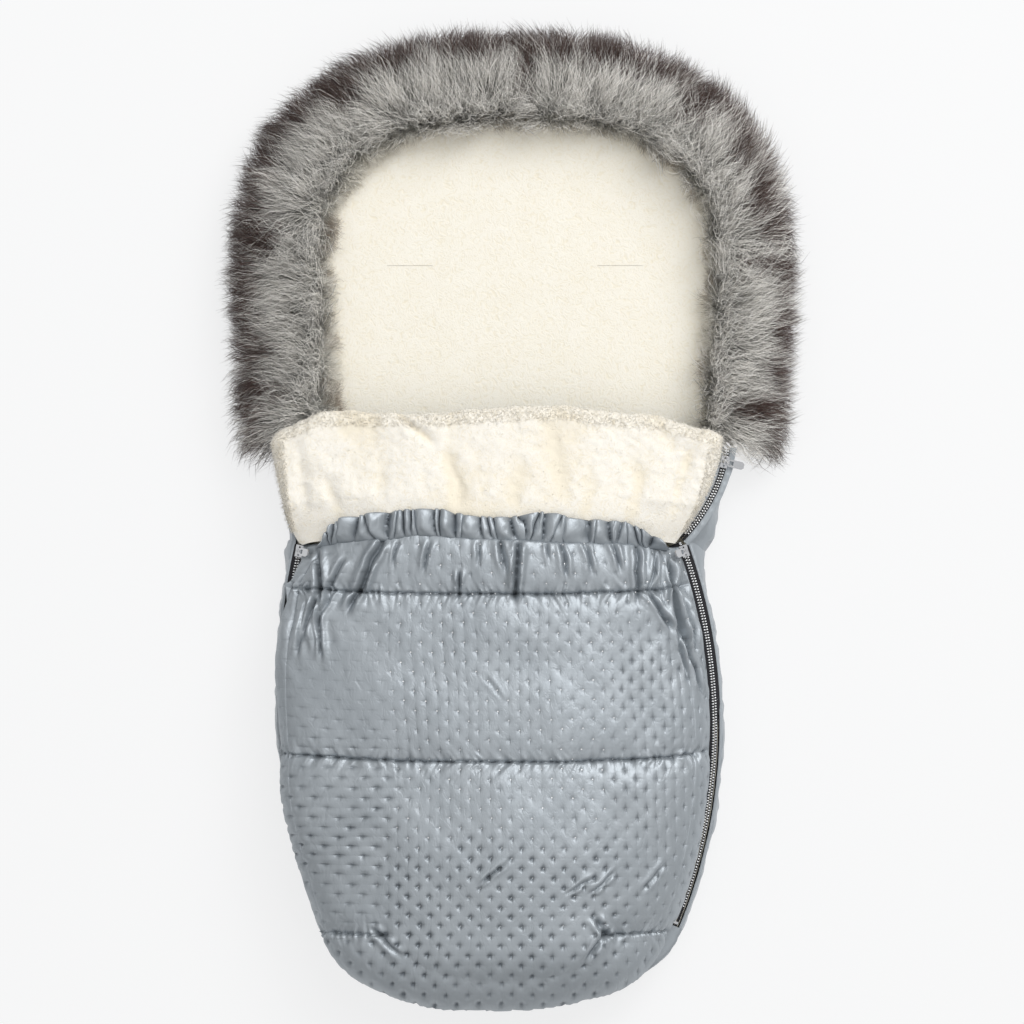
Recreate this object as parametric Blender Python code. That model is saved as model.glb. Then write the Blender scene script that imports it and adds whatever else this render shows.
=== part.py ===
"""A footmuff for a pushchair, lying on its back.

The back is a shallow tray of grey cloth with a pad and a fleece lining in it, and a thick fur trim round
its head end. A quilted cover closes the front with a zip down each side. A fleece cuff rises from the
cover's gathered top edge and can be folded down over it. Lengths are in metres, +X is the right side
in plan, +Y points to the head and +Z up from the ground.
"""

import math

import bmesh
import bpy
from mathutils import Matrix, Vector

for old in list(bpy.data.objects):
    bpy.data.objects.remove(old, do_unlink=True)

LEFT, RIGHT = -1, 1
WELD = 0.000001

# Clearances
TOUCH = 0.0003
RUNNING_GAP = 0.0005
LAYER_GAP = 0.0008

# Plan of the zip lines: an arc down each side, a tighter arc at each side of the neck, a round toe
ZIP_HEIGHT = 0.050
LEFT_WIDEST_X = -0.2255
LEFT_WIDEST_Y = -0.175
LEFT_RADIUS = 0.66
RIGHT_WIDEST_X = 0.2045
RIGHT_WIDEST_Y = -0.210
RIGHT_RADIUS = 0.52
WAIST_Y = -0.025
LEFT_NECK_RADIUS = 0.60
LEFT_NECK_WIDEST_Y = 0.125
RIGHT_NECK_RADIUS = 0.163
RIGHT_NECK_WIDEST_Y = 0.091
SHOULDER_Y = 0.125
TOE_SEAM_Y = -0.414
TOE_END_Y = -0.4845
TOE_ROUNDNESS = 2.3

# Fur trim: a horseshoe between an inner and an outer line
FUR_END_Y = 0.0745
FUR_CENTRE_Y = 0.245
FUR_INNER_AXIS_X = 0.010
FUR_INNER_HALF = 0.193
FUR_INNER_LEG_HALF = 0.185
FUR_INNER_RISE = 0.150
FUR_INNER_ROUNDNESS = 2.6
FUR_OUTER_AXIS_X = 0.0
FUR_OUTER_HALF = 0.290
FUR_OUTER_LEG_HALF = 0.281
FUR_OUTER_RISE = 0.247
FUR_OUTER_ROUNDNESS = 2.4
FUR_LEG_SHARE = 0.2
FUR_THICKNESS = 0.031
FUR_LOW = 0.003
FUR_STEP_SHARE = 0.60
FUR_END_RISE_SHARE = 0.62
FUR_END_STEPS = 4
HEAD_EDGE_SHARE = 0.52

# The fur's section as shares across it and of its thickness, then of its lobe outside the back's edge
FUR_SECTION_SHARES = [
    (0.00, 0.25), (0.04, 0.00), (FUR_STEP_SHARE, 0.00),
    (0.90, 0.75), (0.74, 0.92), (0.56, 1.00), (0.38, 0.97), (0.20, 0.80), (0.07, 0.52),
]
FUR_LOBE_SHARES = [(0.62, 0.03), (0.80, 0.00), (0.95, 0.22), (1.00, 0.60)]

# Back: outer cloth, pad, fleece lining
CLOTH = 0.003
WALL_OUTER = 0.008
WALL_SAG = 0.014
SAG_BELOW = 0.045
SAG_ABOVE = 0.050
WALL_END_Y = 0.056
WALL_FADE = 0.012
FLOOR_CORNER = 0.012
CORNER_HEIGHT = 0.008
PAD_THICKNESS = 0.0115
PAD_INSET = 0.010
FLEECE = 0.0085
LINING_INSET = 0.008
LINING_TOP = 0.0455
PAD_EDGE_SHARES = (0.3, 0.7)
SAG_HEIGHT_SHARE = 0.5
LINING_SAG_SHARE = 0.12

# Harness slits through the back, which lie nearly closed until a strap goes through
SLOT_LENGTH = 0.046
SLOT_WIDTH = 0.0025
SLOT_AXIS_X = 0.005
SHOULDER_SLOT_Y = 0.251
SHOULDER_SLOT_X = 0.106
WAIST_SLOT_Y = -0.070
WAIST_SLOT_X = 0.125
CROTCH_SLOT_Y = -0.135

# Cover: an arch over the zip lines
MOUTH_Y = -0.0265
MOUTH_CROWN = 0.046
FOOT_CROWN = 0.070
FOOT_CROWN_Y = -0.360
ARCH_ROUNDNESS = 2.1
ZIP_CLEAR = 0.005
QUILT = 0.012
QUILT_PUFF = 0.003
SEAM_DEPTH = 0.002
SIDE_PUFF = 0.0008
GUSSET_ANGLE = math.radians(24)
UPPER_SEAM_Y = -0.068
LOWER_SEAM_Y = -0.233
SEAM_DIP = 0.010
ELASTIC_WIDTH = 0.008
ELASTIC_THICKNESS = 0.0015

# Cuff and frill at the cover's top edge
CUFF_BASE_Y = -0.0262
CUFF_BASE_DEPTH = 0.014
CUFF_EDGE_ANGLE = math.radians(14)
CUFF_CLOTH = 0.0025
CUFF_CROWN = 0.003
CUFF_CROWN_START_SHARE = 0.08
CUFF_AXIS_RISE = 0.0063
CUFF_TOP_LEFT_X = -0.238
CUFF_TOP_RIGHT_X = 0.206
CUFF_CORNER_Y = 0.070
CUFF_MIDDLE_Y = 0.110
CUFF_SIDE_HEIGHT = 0.0585
CUFF_MIDDLE_HEIGHT = 0.062
CUFF_DIP = 0.018
CUFF_DIP_SHARE = 0.31
CUFF_DIP_WIDTH_SHARE = 0.05
FRILL_HEIGHT_SHARE = 0.19
FRILL_CLOTH = 0.0015
FRILL_STAND = 0.0055
FRILL_END_SHARE = 0.03
FRILL_WAVE = 0.003
FRILL_WAVES = 26

# Zips: chain halves, tapes, stops, sliders and pulls
CHAIN_OUTER = 0.0026
CHAIN_INNER = 0.00045
CHAIN_HALF_HEIGHT = 0.0012
TAPE_HALF_THICKNESS = 0.0004
APRON_TAPE_WIDTH = 0.010
ZIP_TOP_Y = -0.0292
ZIP_END_Y = -0.406
SLIDER_TOP_Y = -0.036
SLIDER_END_Y = -0.399
SLIDER_LENGTH = 0.012
SLIDER_HALF_WIDTH = 0.004
SLIDER_LIP = 0.0008
SLIDER_PLATE = 0.0012
SLIDER_WEB = 0.0003
SLIDER_TAIL_SHARE = 0.9
STOP_LENGTH = 0.0022
STOP_HALF_HEIGHT = 0.0015
UPPER_ZIP_START_Y = -0.019
UPPER_ZIP_END_Y = 0.064
UPPER_SLIDER_Y = 0.053
BRIDGE_HALF_LENGTH = 0.0042
BRIDGE_WIDTH = 0.0016
BRIDGE_THICKNESS = 0.0012
BRIDGE_HEIGHT = 0.0028
EYE_INNER_RADIUS = 0.0013
EYE_OUTER_RADIUS = 0.0025
EYE_WIDTH = 0.0025
PULL_LENGTH = 0.020
PULL_WIDTH = 0.0078
PULL_THICKNESS = 0.0015
PULL_HOLE = 0.0042
PULL_TIP = 0.0022
SIDE_PULL_ANGLE = math.radians(60)
UPPER_PULL_ANGLE = math.radians(-8)
BINDING_START_SHARE = 0.02


def lerp(a, b, share):
    return a + (b - a) * share


def smooth(share):
    share = min(max(share, 0.0), 1.0)
    return share * share * (3 - 2 * share)


def signed_power(value, power):
    return math.copysign(abs(value) ** power, value)


# Zip lines


class Arc:
    """A round stretch of a zip line; places on it are found by their height Y and an outward offset."""

    def __init__(self, side, widest_x, widest_y, radius):
        self.side = side
        self.radius = radius
        self.centre = (widest_x - side * radius, widest_y)

    def angle(self, y):
        return math.asin((y - self.centre[1]) / self.radius)

    def place(self, y, offset=0.0):
        angle = self.angle(y)
        reach = self.radius + offset
        return Vector((
            self.centre[0] + self.side * reach * math.cos(angle),
            self.centre[1] + reach * math.sin(angle),
        ))


SIDE_ARCS = {
    LEFT: Arc(LEFT, LEFT_WIDEST_X, LEFT_WIDEST_Y, LEFT_RADIUS),
    RIGHT: Arc(RIGHT, RIGHT_WIDEST_X, RIGHT_WIDEST_Y, RIGHT_RADIUS),
}


def neck_arc(side, radius, widest_y):
    rise = widest_y - WAIST_Y
    waist_x = SIDE_ARCS[side].place(WAIST_Y).x
    widest_x = waist_x + side * (radius - math.sqrt(radius**2 - rise**2))
    return Arc(side, widest_x, widest_y, radius)


NECK_ARCS = {
    LEFT: neck_arc(LEFT, LEFT_NECK_RADIUS, LEFT_NECK_WIDEST_Y),
    RIGHT: neck_arc(RIGHT, RIGHT_NECK_RADIUS, RIGHT_NECK_WIDEST_Y),
}


def zip_x(side, y):
    arc = SIDE_ARCS[side] if y <= WAIST_Y else NECK_ARCS[side]
    return arc.place(y).x


# Fur line and outline of the back

FUR_INNER = (FUR_INNER_AXIS_X, FUR_INNER_HALF, FUR_INNER_LEG_HALF, FUR_INNER_RISE, FUR_INNER_ROUNDNESS)
FUR_OUTER = (FUR_OUTER_AXIS_X, FUR_OUTER_HALF, FUR_OUTER_LEG_HALF, FUR_OUTER_RISE, FUR_OUTER_ROUNDNESS)


def horseshoe(line, t):
    """A place on a fur line, from its left end at t = 0 over the head to its right end at t = 1."""
    axis_x, half, leg_half, rise, roundness = line
    from_end = min(t, 1 - t)
    side = LEFT if t < 0.5 else RIGHT
    if from_end < FUR_LEG_SHARE:
        share = from_end / FUR_LEG_SHARE
        return Vector((axis_x + side * lerp(leg_half, half, share), lerp(FUR_END_Y, FUR_CENTRE_Y, share)))
    angle = math.pi * (1 - (t - FUR_LEG_SHARE) / (1 - 2 * FUR_LEG_SHARE))
    return Vector((
        axis_x + half * signed_power(math.cos(angle), 2 / roundness),
        FUR_CENTRE_Y + rise * max(math.sin(angle), 0.0) ** (2 / roundness),
    ))


def across_fur(t, share):
    return horseshoe(FUR_INNER, t).lerp(horseshoe(FUR_OUTER, t), share)


def shoulder_place(side, y):
    """Between the neck and the head the outline eases from the zip line out to the fur's middle."""
    from_end = FUR_LEG_SHARE * (y - FUR_END_Y) / (FUR_CENTRE_Y - FUR_END_Y)
    head = across_fur(from_end if side == LEFT else 1 - from_end, HEAD_EDGE_SHARE)
    widest_y = NECK_ARCS[side].centre[1]
    ease = smooth((y - widest_y) / (FUR_CENTRE_Y - widest_y))
    return Vector((lerp(zip_x(side, widest_y), head.x, ease), y))


def toe_place(side, angle, inset=0.0):
    """A place on the toe's round, from the toe seam at angle 0 to the foot end at a right angle."""
    depth = TOE_SEAM_Y - TOE_END_Y - inset
    y = TOE_SEAM_Y - depth * math.sin(angle) ** (2 / TOE_ROUNDNESS)
    reach = max(math.cos(angle), 0.0) ** (2 / TOE_ROUNDNESS)
    left = zip_x(LEFT, y) + inset
    right = zip_x(RIGHT, y) - inset
    return Vector(((left + right) / 2 + side * reach * (right - left) / 2, y))


def side_places(side):
    """Places up one side of the back, from the toe seam to the middle of the head."""
    places = [SIDE_ARCS[side].place(lerp(TOE_SEAM_Y, WAIST_Y, k / 12)) for k in range(12)]
    places += [NECK_ARCS[side].place(lerp(WAIST_Y, WALL_END_Y, k / 5)) for k in range(6)]
    places.append(NECK_ARCS[side].place(WALL_END_Y + WALL_FADE))
    places += [shoulder_place(side, lerp(SHOULDER_Y, FUR_CENTRE_Y, k / 3)) for k in range(3)]
    return places


def back_outline():
    """The outline of the back in plan, counterclockwise from the foot end."""
    toe = [math.pi / 2 * k / 7 for k in range(1, 8)]
    head_steps = 16
    head = [
        across_fur(lerp(1 - FUR_LEG_SHARE, FUR_LEG_SHARE, k / head_steps), HEAD_EDGE_SHARE)
        for k in range(head_steps + 1)
    ]
    right = [toe_place(RIGHT, angle) for angle in reversed(toe)] + side_places(RIGHT)
    left = [toe_place(LEFT, angle) for angle in reversed(toe[:-1])] + side_places(LEFT)
    return right + head + left[::-1]


def outward(points):
    """The outward direction at each point of a closed counterclockwise outline."""
    count = len(points)
    found = []
    for i in range(count):
        along = points[(i + 1) % count] - points[i - 1]
        found.append(Vector((along.y, -along.x)).normalized())
    return found


OUTLINE = back_outline()
OUTLINE_OUT = outward(OUTLINE)


# Building helpers


def new_object(name, mesh, material):
    made = bpy.data.objects.new(name, mesh)
    bpy.context.scene.collection.objects.link(made)
    mesh.materials.append(material)
    return made


def finish_mesh(name, bm, material, sharp=math.radians(40)):
    bmesh.ops.remove_doubles(bm, verts=bm.verts, dist=WELD)
    bmesh.ops.recalc_face_normals(bm, faces=bm.faces)
    mesh = bpy.data.meshes.new(name)
    bm.to_mesh(mesh)
    bm.free()
    mesh.shade_smooth()
    mesh.set_sharp_from_angle(angle=sharp)
    return new_object(name, mesh, material)


def rings(name, loops, material, capped=True):
    """Closed loops with equal counts joined one to the next; the ends are capped, or joined to each other."""
    bm = bmesh.new()
    rows = [[bm.verts.new(point) for point in loop] for loop in loops]
    count = len(rows[0])
    pairs = list(zip(rows, rows[1:]))
    if not capped:
        pairs.append((rows[-1], rows[0]))
    for low, high in pairs:
        for i in range(count):
            j = (i + 1) % count
            bm.faces.new((low[i], low[j], high[j], high[i]))
    if capped:
        bm.faces.new(rows[0][::-1])
        bm.faces.new(rows[-1])
    return finish_mesh(name, bm, material)


def slab(name, outer, inner, across, along, material):
    """A curved sheet with a thickness: two surfaces of (u, v), from 0 to 1 each way, joined at their edges."""
    bm = bmesh.new()
    grids = [
        [[bm.verts.new(face(i / across, j / along)) for i in range(across + 1)] for j in range(along + 1)]
        for face in (outer, inner)
    ]
    for grid in grids:
        for j in range(along):
            for i in range(across):
                bm.faces.new((grid[j][i], grid[j][i + 1], grid[j + 1][i + 1], grid[j + 1][i]))
    top, low = grids
    for i in range(across):
        for j in (0, along):
            bm.faces.new((top[j][i], top[j][i + 1], low[j][i + 1], low[j][i]))
    for j in range(along):
        for i in (0, across):
            bm.faces.new((top[j][i], top[j + 1][i], low[j + 1][i], low[j][i]))
    return finish_mesh(name, bm, material)


def material(name, colour, roughness, metallic=0.0):
    made = bpy.data.materials.new(name)
    made.use_nodes = True
    shader = made.node_tree.nodes["Principled BSDF"]
    shader.inputs["Base Color"].default_value = (*colour, 1)
    shader.inputs["Roughness"].default_value = roughness
    shader.inputs["Metallic"].default_value = metallic
    made.diffuse_color = (*colour, 1)
    return made


COVER_CLOTH = material("blue_grey_satin", (0.39, 0.43, 0.47), 0.42)
BACK_CLOTH = material("grey_back_cloth", (0.25, 0.28, 0.31), 0.6)
WADDING = material("white_wadding", (0.80, 0.80, 0.78), 0.9)
CREAM_FLEECE = material("cream_fleece", (0.90, 0.85, 0.72), 0.95)
GREY_FUR = material("grey_fur", (0.36, 0.34, 0.32), 0.9)
BLACK_TAPE = material("black_zip_tape", (0.03, 0.03, 0.035), 0.8)
SILVER = material("silver_zip_teeth", (0.70, 0.71, 0.72), 0.35, 1.0)
CHROME = material("chrome", (0.80, 0.80, 0.82), 0.12, 1.0)
WHITE_ELASTIC = material("white_elastic", (0.85, 0.85, 0.85), 0.8)


# Back of the footmuff


def wall_share(y):
    """1 where the back has an upright wall, 0 round the head, where it lies flat under the fur."""
    return 1 - smooth((y - WALL_END_Y) / WALL_FADE)


def sag_share(point):
    """The right wall slumps outwards at the waist."""
    if point.x < SLOT_AXIS_X:
        return 0.0
    rise = smooth((point.y - WAIST_Y + SAG_BELOW) / SAG_BELOW)
    return rise * (1 - smooth((point.y - WAIST_Y) / SAG_ABOVE))


def back_layer(name, wall, low, high, inset, cloth):
    """A sheet over the back's plan from height low to high; its wall is rows of (offset, height, sag)."""
    steps = len(wall) + 1
    loops = []
    for j in range(steps + 1):
        turn = math.pi * j / steps
        flat_offset = -inset - FLOOR_CORNER * (1 - math.sin(turn))
        flat_height = lerp(low, high, (1 - math.cos(turn)) / 2)
        loop = []
        for point, out in zip(OUTLINE, OUTLINE_OUT):
            offset, height = flat_offset, flat_height
            if 0 < j < steps:
                wall_offset, wall_height, sag = wall[j - 1]
                share = wall_share(point.y)
                offset = lerp(flat_offset, wall_offset + sag * sag_share(point), share)
                height = lerp(flat_height, wall_height, share)
            place = point + out * offset
            loop.append((place.x, place.y, height))
        loops.append(loop)
    return rings(name, loops, cloth)


rim_top = ZIP_HEIGHT - TAPE_HALF_THICKNESS - TOUCH
wall_inner = WALL_OUTER - CLOTH
pad_low = CLOTH + TOUCH
pad_high = pad_low + PAD_THICKNESS
lining_low = pad_high + TOUCH
lining_high = lining_low + FLEECE

back_shell = back_layer(
    "back_shell",
    [
        (WALL_OUTER, CORNER_HEIGHT, WALL_SAG / 2),
        (WALL_OUTER, rim_top * SAG_HEIGHT_SHARE, WALL_SAG),
        (WALL_OUTER, rim_top, 0.0),
        (wall_inner, rim_top, 0.0),
        (wall_inner, rim_top * SAG_HEIGHT_SHARE, WALL_SAG),
        (wall_inner, CORNER_HEIGHT, WALL_SAG / 2),
    ],
    0.0,
    CLOTH,
    0.0,
    BACK_CLOTH,
)
back_padding = back_layer(
    "back_padding",
    [(-PAD_INSET, lerp(pad_low, pad_high, share), 0.0) for share in PAD_EDGE_SHARES],
    pad_low,
    pad_high,
    PAD_INSET,
    WADDING,
)
fleece_outer = wall_inner - TOUCH
fleece_middle = (lining_high + LINING_TOP) / 2
lining_sag = WALL_SAG * LINING_SAG_SHARE
back_lining = back_layer(
    "back_lining",
    [
        (fleece_outer, lining_low, lining_sag),
        (fleece_outer, fleece_middle, lining_sag),
        (fleece_outer - FLEECE / 3, LINING_TOP, 0.0),
        (fleece_outer - FLEECE, LINING_TOP, 0.0),
        (fleece_outer - FLEECE, fleece_middle, lining_sag),
    ],
    lining_low,
    lining_high,
    LINING_INSET,
    CREAM_FLEECE,
)


def box(name, centre, size, cloth):
    bm = bmesh.new()
    bmesh.ops.create_cube(bm, size=1)
    bmesh.ops.scale(bm, verts=bm.verts, vec=size)
    bmesh.ops.translate(bm, verts=bm.verts, vec=centre)
    return finish_mesh(name, bm, cloth)


def hide_helper(helper):
    helper.hide_render = True
    helper.display_type = "WIRE"


def boolean(target, helper, operation):
    hide_helper(helper)
    modifier = target.modifiers.new(helper.name, "BOOLEAN")
    modifier.operation = operation
    modifier.solver = "EXACT"
    modifier.object = helper


slot_cut_height = 2 * lining_high
flat_slot = (SLOT_LENGTH, SLOT_WIDTH, slot_cut_height)
upright_slot = (SLOT_WIDTH, SLOT_LENGTH, slot_cut_height)
HARNESS_SLOTS = {
    "left_shoulder": ((SLOT_AXIS_X - SHOULDER_SLOT_X, SHOULDER_SLOT_Y), flat_slot),
    "right_shoulder": ((SLOT_AXIS_X + SHOULDER_SLOT_X, SHOULDER_SLOT_Y), flat_slot),
    "left_waist": ((SLOT_AXIS_X - WAIST_SLOT_X, WAIST_SLOT_Y), upright_slot),
    "right_waist": ((SLOT_AXIS_X + WAIST_SLOT_X, WAIST_SLOT_Y), upright_slot),
    "crotch": ((SLOT_AXIS_X, CROTCH_SLOT_Y), flat_slot),
}
for slot_name, ((slot_x, slot_y), slot_size) in HARNESS_SLOTS.items():
    cutter = box(slot_name + "_slot_cutter", (slot_x, slot_y, slot_cut_height / 4), slot_size, BACK_CLOTH)
    for layer in (back_shell, back_padding, back_lining):
        boolean(layer, cutter, "DIFFERENCE")


# Fur trim

fur_base = lining_high + TOUCH


def fur_loop(t, top_share):
    """The fur's section at t: flat over the lining, with its outer lobe hanging over the back's edge."""
    lobe_rise = fur_base - FUR_LOW
    loop = []
    for share, rise in FUR_SECTION_SHARES:
        place = across_fur(t, share)
        loop.append((place.x, place.y, fur_base + rise * top_share * FUR_THICKNESS))
        if share == FUR_STEP_SHARE:
            for lobe_share, lobe_height in FUR_LOBE_SHARES:
                lobe = across_fur(t, lobe_share)
                loop.append((lobe.x, lobe.y, FUR_LOW + lobe_height * lobe_rise))
    return loop


fur_steps = 44
fur_loops = []
for k in range(fur_steps + 1):
    t = k / fur_steps
    end_ease = smooth(min(k, fur_steps - k) / FUR_END_STEPS)
    fur_loops.append(fur_loop(t, lerp(FUR_END_RISE_SHARE, 1.0, end_ease)))
rings("fur_trim", fur_loops, GREY_FUR)


# Cover

cover_base = ZIP_HEIGHT + TAPE_HALF_THICKNESS + TOUCH


def crown(y):
    return lerp(MOUTH_CROWN, FOOT_CROWN, smooth((MOUTH_Y - y) / (MOUTH_Y - FOOT_CROWN_Y)))


def cover_point(theta, s, inset):
    """A place in the cover: theta runs over the arch from the right edge, s from the mouth (0) past the toe
    seam (1) to the foot end (2), and inset is the depth under the arch's outer face."""
    if s <= 1:
        y, reach = lerp(MOUTH_Y, TOE_SEAM_Y, s), 1.0
    else:
        angle = (s - 1) * math.pi / 2
        depth = TOE_SEAM_Y - TOE_END_Y - ZIP_CLEAR - inset
        y = TOE_SEAM_Y - depth * math.sin(angle) ** (2 / TOE_ROUNDNESS)
        reach = max(math.cos(angle), 0.0) ** (2 / TOE_ROUNDNESS)
        if s >= 2:
            reach = 0.0
    left = zip_x(LEFT, y) + ZIP_CLEAR + inset
    right = zip_x(RIGHT, y) - ZIP_CLEAR - inset
    half = reach * (right - left) / 2
    rise = reach * (crown(y) - inset)
    return Vector((
        (left + right) / 2 + half * signed_power(math.cos(theta), 2 / ARCH_ROUNDNESS),
        y,
        cover_base + rise * max(math.sin(theta), 0.0) ** (2 / ARCH_ROUNDNESS),
    ))


def station(y):
    return (y - MOUTH_Y) / (TOE_SEAM_Y - MOUTH_Y)


def seam_line(y, dip):
    """A cross seam that dips towards the foot in the middle, as a station for each theta."""
    return lambda theta: station(y - dip * math.sin(theta))


def pillow(u, v):
    """1 in the middle of a quilted panel, 0 at the seams round it."""
    return (1 - abs(2 * u - 1) ** 8) * (1 - abs(2 * v - 1) ** 4)


def cover_panel(name, start, end, low_angle, high_angle, across, along, puff, depth):
    def theta(u):
        return lerp(high_angle, low_angle, u)

    def s(u, v):
        return lerp(start(theta(u)), end(theta(u)), v)

    def outer(u, v):
        soft = pillow(u, v)
        return cover_point(theta(u), s(u, v), depth * (1 - soft) - puff * soft)

    def inner(u, v):
        return cover_point(theta(u), s(u, v), QUILT)

    return slab(name, outer, inner, across, along, COVER_CLOTH)


seam_angle = TOUCH / MOUTH_CROWN
half_gap = TOUCH / 2 / (MOUTH_Y - TOE_SEAM_Y)
low_gusset = GUSSET_ANGLE + seam_angle / 2
high_gusset = math.pi - low_gusset
upper_seam = seam_line(UPPER_SEAM_Y, SEAM_DIP)
lower_seam = seam_line(LOWER_SEAM_Y, SEAM_DIP)


def before(seam):
    return lambda theta: seam(theta) - half_gap


def after(seam):
    return lambda theta: seam(theta) + half_gap


def mouth(theta):
    return 0.0


def toe_seam(theta):
    return 1.0


def foot_end(theta):
    return 2.0


span = (low_gusset, high_gusset)
right_side = (0.0, GUSSET_ANGLE - seam_angle / 2)
left_side = (math.pi - GUSSET_ANGLE + seam_angle / 2, math.pi)
whole = (0.0, math.pi)
apron_pieces = [
    cover_panel("front_upper_panel", mouth, before(upper_seam), *span, 22, 4, QUILT_PUFF / 2, SEAM_DEPTH),
    cover_panel("front_middle_panel", after(upper_seam), before(lower_seam), *span, 22, 8, QUILT_PUFF, SEAM_DEPTH),
    cover_panel("front_lower_panel", after(lower_seam), before(toe_seam), *span, 22, 8, QUILT_PUFF, SEAM_DEPTH),
    cover_panel("toe_panel", after(toe_seam), foot_end, *whole, 24, 8, 0.0, 0.0),
    cover_panel("left_side_panel", mouth, before(toe_seam), *left_side, 3, 16, SIDE_PUFF, 0.0),
    cover_panel("right_side_panel", mouth, before(toe_seam), *right_side, 3, 16, SIDE_PUFF, 0.0),
]

elastic_depth = QUILT + LAYER_GAP
elastic_start = station(MOUTH_Y - CLOTH / 2)
elastic_end = station(MOUTH_Y - CLOTH / 2 - ELASTIC_WIDTH)


def elastic_face(inset):
    return lambda u, v: cover_point(
        lerp(math.pi - CUFF_EDGE_ANGLE, CUFF_EDGE_ANGLE, u), lerp(elastic_start, elastic_end, v), inset
    )


apron_pieces.append(slab(
    "frill_elastic",
    elastic_face(elastic_depth),
    elastic_face(elastic_depth + ELASTIC_THICKNESS),
    16,
    1,
    WHITE_ELASTIC,
))


def lining_face(inset):
    start = elastic_end + half_gap * 2
    return lambda u, v: cover_point(math.pi * (1 - u), lerp(start, 2.0, v), inset)


apron_pieces.append(slab(
    "apron_lining", lining_face(elastic_depth), lining_face(elastic_depth + FLEECE), 18, 18, CREAM_FLEECE
))


# Cuff and frill


def cuff_sheet(u, v):
    """The cuff's underside, from its left edge to its right (u) and from the cover up to its free edge (v)."""
    theta = lerp(math.pi - CUFF_EDGE_ANGLE, CUFF_EDGE_ANGLE, u)
    base = cover_point(theta, 0.0, CUFF_BASE_DEPTH)
    middle = 1 - abs(2 * u - 1) ** 5
    dip = CUFF_DIP * math.exp(-(((u - CUFF_DIP_SHARE) / CUFF_DIP_WIDTH_SHARE) ** 2))
    top_y = lerp(CUFF_CORNER_Y, CUFF_MIDDLE_Y, middle) - dip
    top_z = lerp(CUFF_SIDE_HEIGHT, CUFF_MIDDLE_HEIGHT, math.sin(math.pi * u))
    return Vector((
        lerp(base.x, lerp(CUFF_TOP_LEFT_X, CUFF_TOP_RIGHT_X, u), smooth(v)),
        lerp(CUFF_BASE_Y, top_y, v),
        lerp(base.z, top_z, smooth(v)),
    ))


def lifted(sheet, u, v, lift):
    """A place on a sheet raised square to it."""
    step = 1 / 256  # small against the sheet's own 0 to 1
    low_u, high_u = max(u - step, 0.0), min(u + step, 1.0)
    low_v, high_v = max(v - step, 0.0), min(v + step, 1.0)
    normal = (sheet(high_u, v) - sheet(low_u, v)).cross(sheet(u, high_v) - sheet(u, low_v)).normalized()
    return sheet(u, v) + normal * lift


def cuff_crown(u, v):
    return CUFF_CROWN * math.sin(math.pi * u) ** 0.5 * math.sin(math.pi * min(v + CUFF_CROWN_START_SHARE, 1.0))


cuff_low = CUFF_CLOTH + TOUCH
cuff_high = cuff_low + FLEECE
cuff_shell = slab(
    "cuff_shell",
    lambda u, v: lifted(cuff_sheet, u, v, CUFF_CLOTH),
    cuff_sheet,
    24,
    7,
    COVER_CLOTH,
)
cuff_lining = slab(
    "cuff_lining",
    lambda u, v: lifted(cuff_sheet, u, v, cuff_high + cuff_crown(u, v)),
    lambda u, v: lifted(cuff_sheet, u, v, cuff_low),
    24,
    7,
    CREAM_FLEECE,
)


def frill_face(extra):
    def place(u, v):
        along = lerp(FRILL_END_SHARE, 1 - FRILL_END_SHARE, u)
        wave = FRILL_WAVE * v * math.cos(2 * math.pi * FRILL_WAVES * u)
        ground = cuff_high + cuff_crown(along, v * FRILL_HEIGHT_SHARE)
        lift = ground + TOUCH + FRILL_STAND * v + wave + extra
        return lifted(cuff_sheet, along, v * FRILL_HEIGHT_SHARE, lift)

    return place


frill = slab("frill", frill_face(FRILL_CLOTH), frill_face(0.0), FRILL_WAVES * 5, 2, COVER_CLOTH)


# Zips


def rail(name, arc, start_y, end_y, low_offset, high_offset, half_height, cloth, steps=20):
    """A strip that follows a zip line at the zips' height."""
    loops = []
    for k in range(steps + 1):
        y = lerp(start_y, end_y, k / steps)
        low, high = arc.place(y, low_offset), arc.place(y, high_offset)
        loops.append([
            (low.x, low.y, ZIP_HEIGHT - half_height),
            (high.x, high.y, ZIP_HEIGHT - half_height),
            (high.x, high.y, ZIP_HEIGHT + half_height),
            (low.x, low.y, ZIP_HEIGHT + half_height),
        ])
    return rings(name, loops, cloth)


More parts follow.
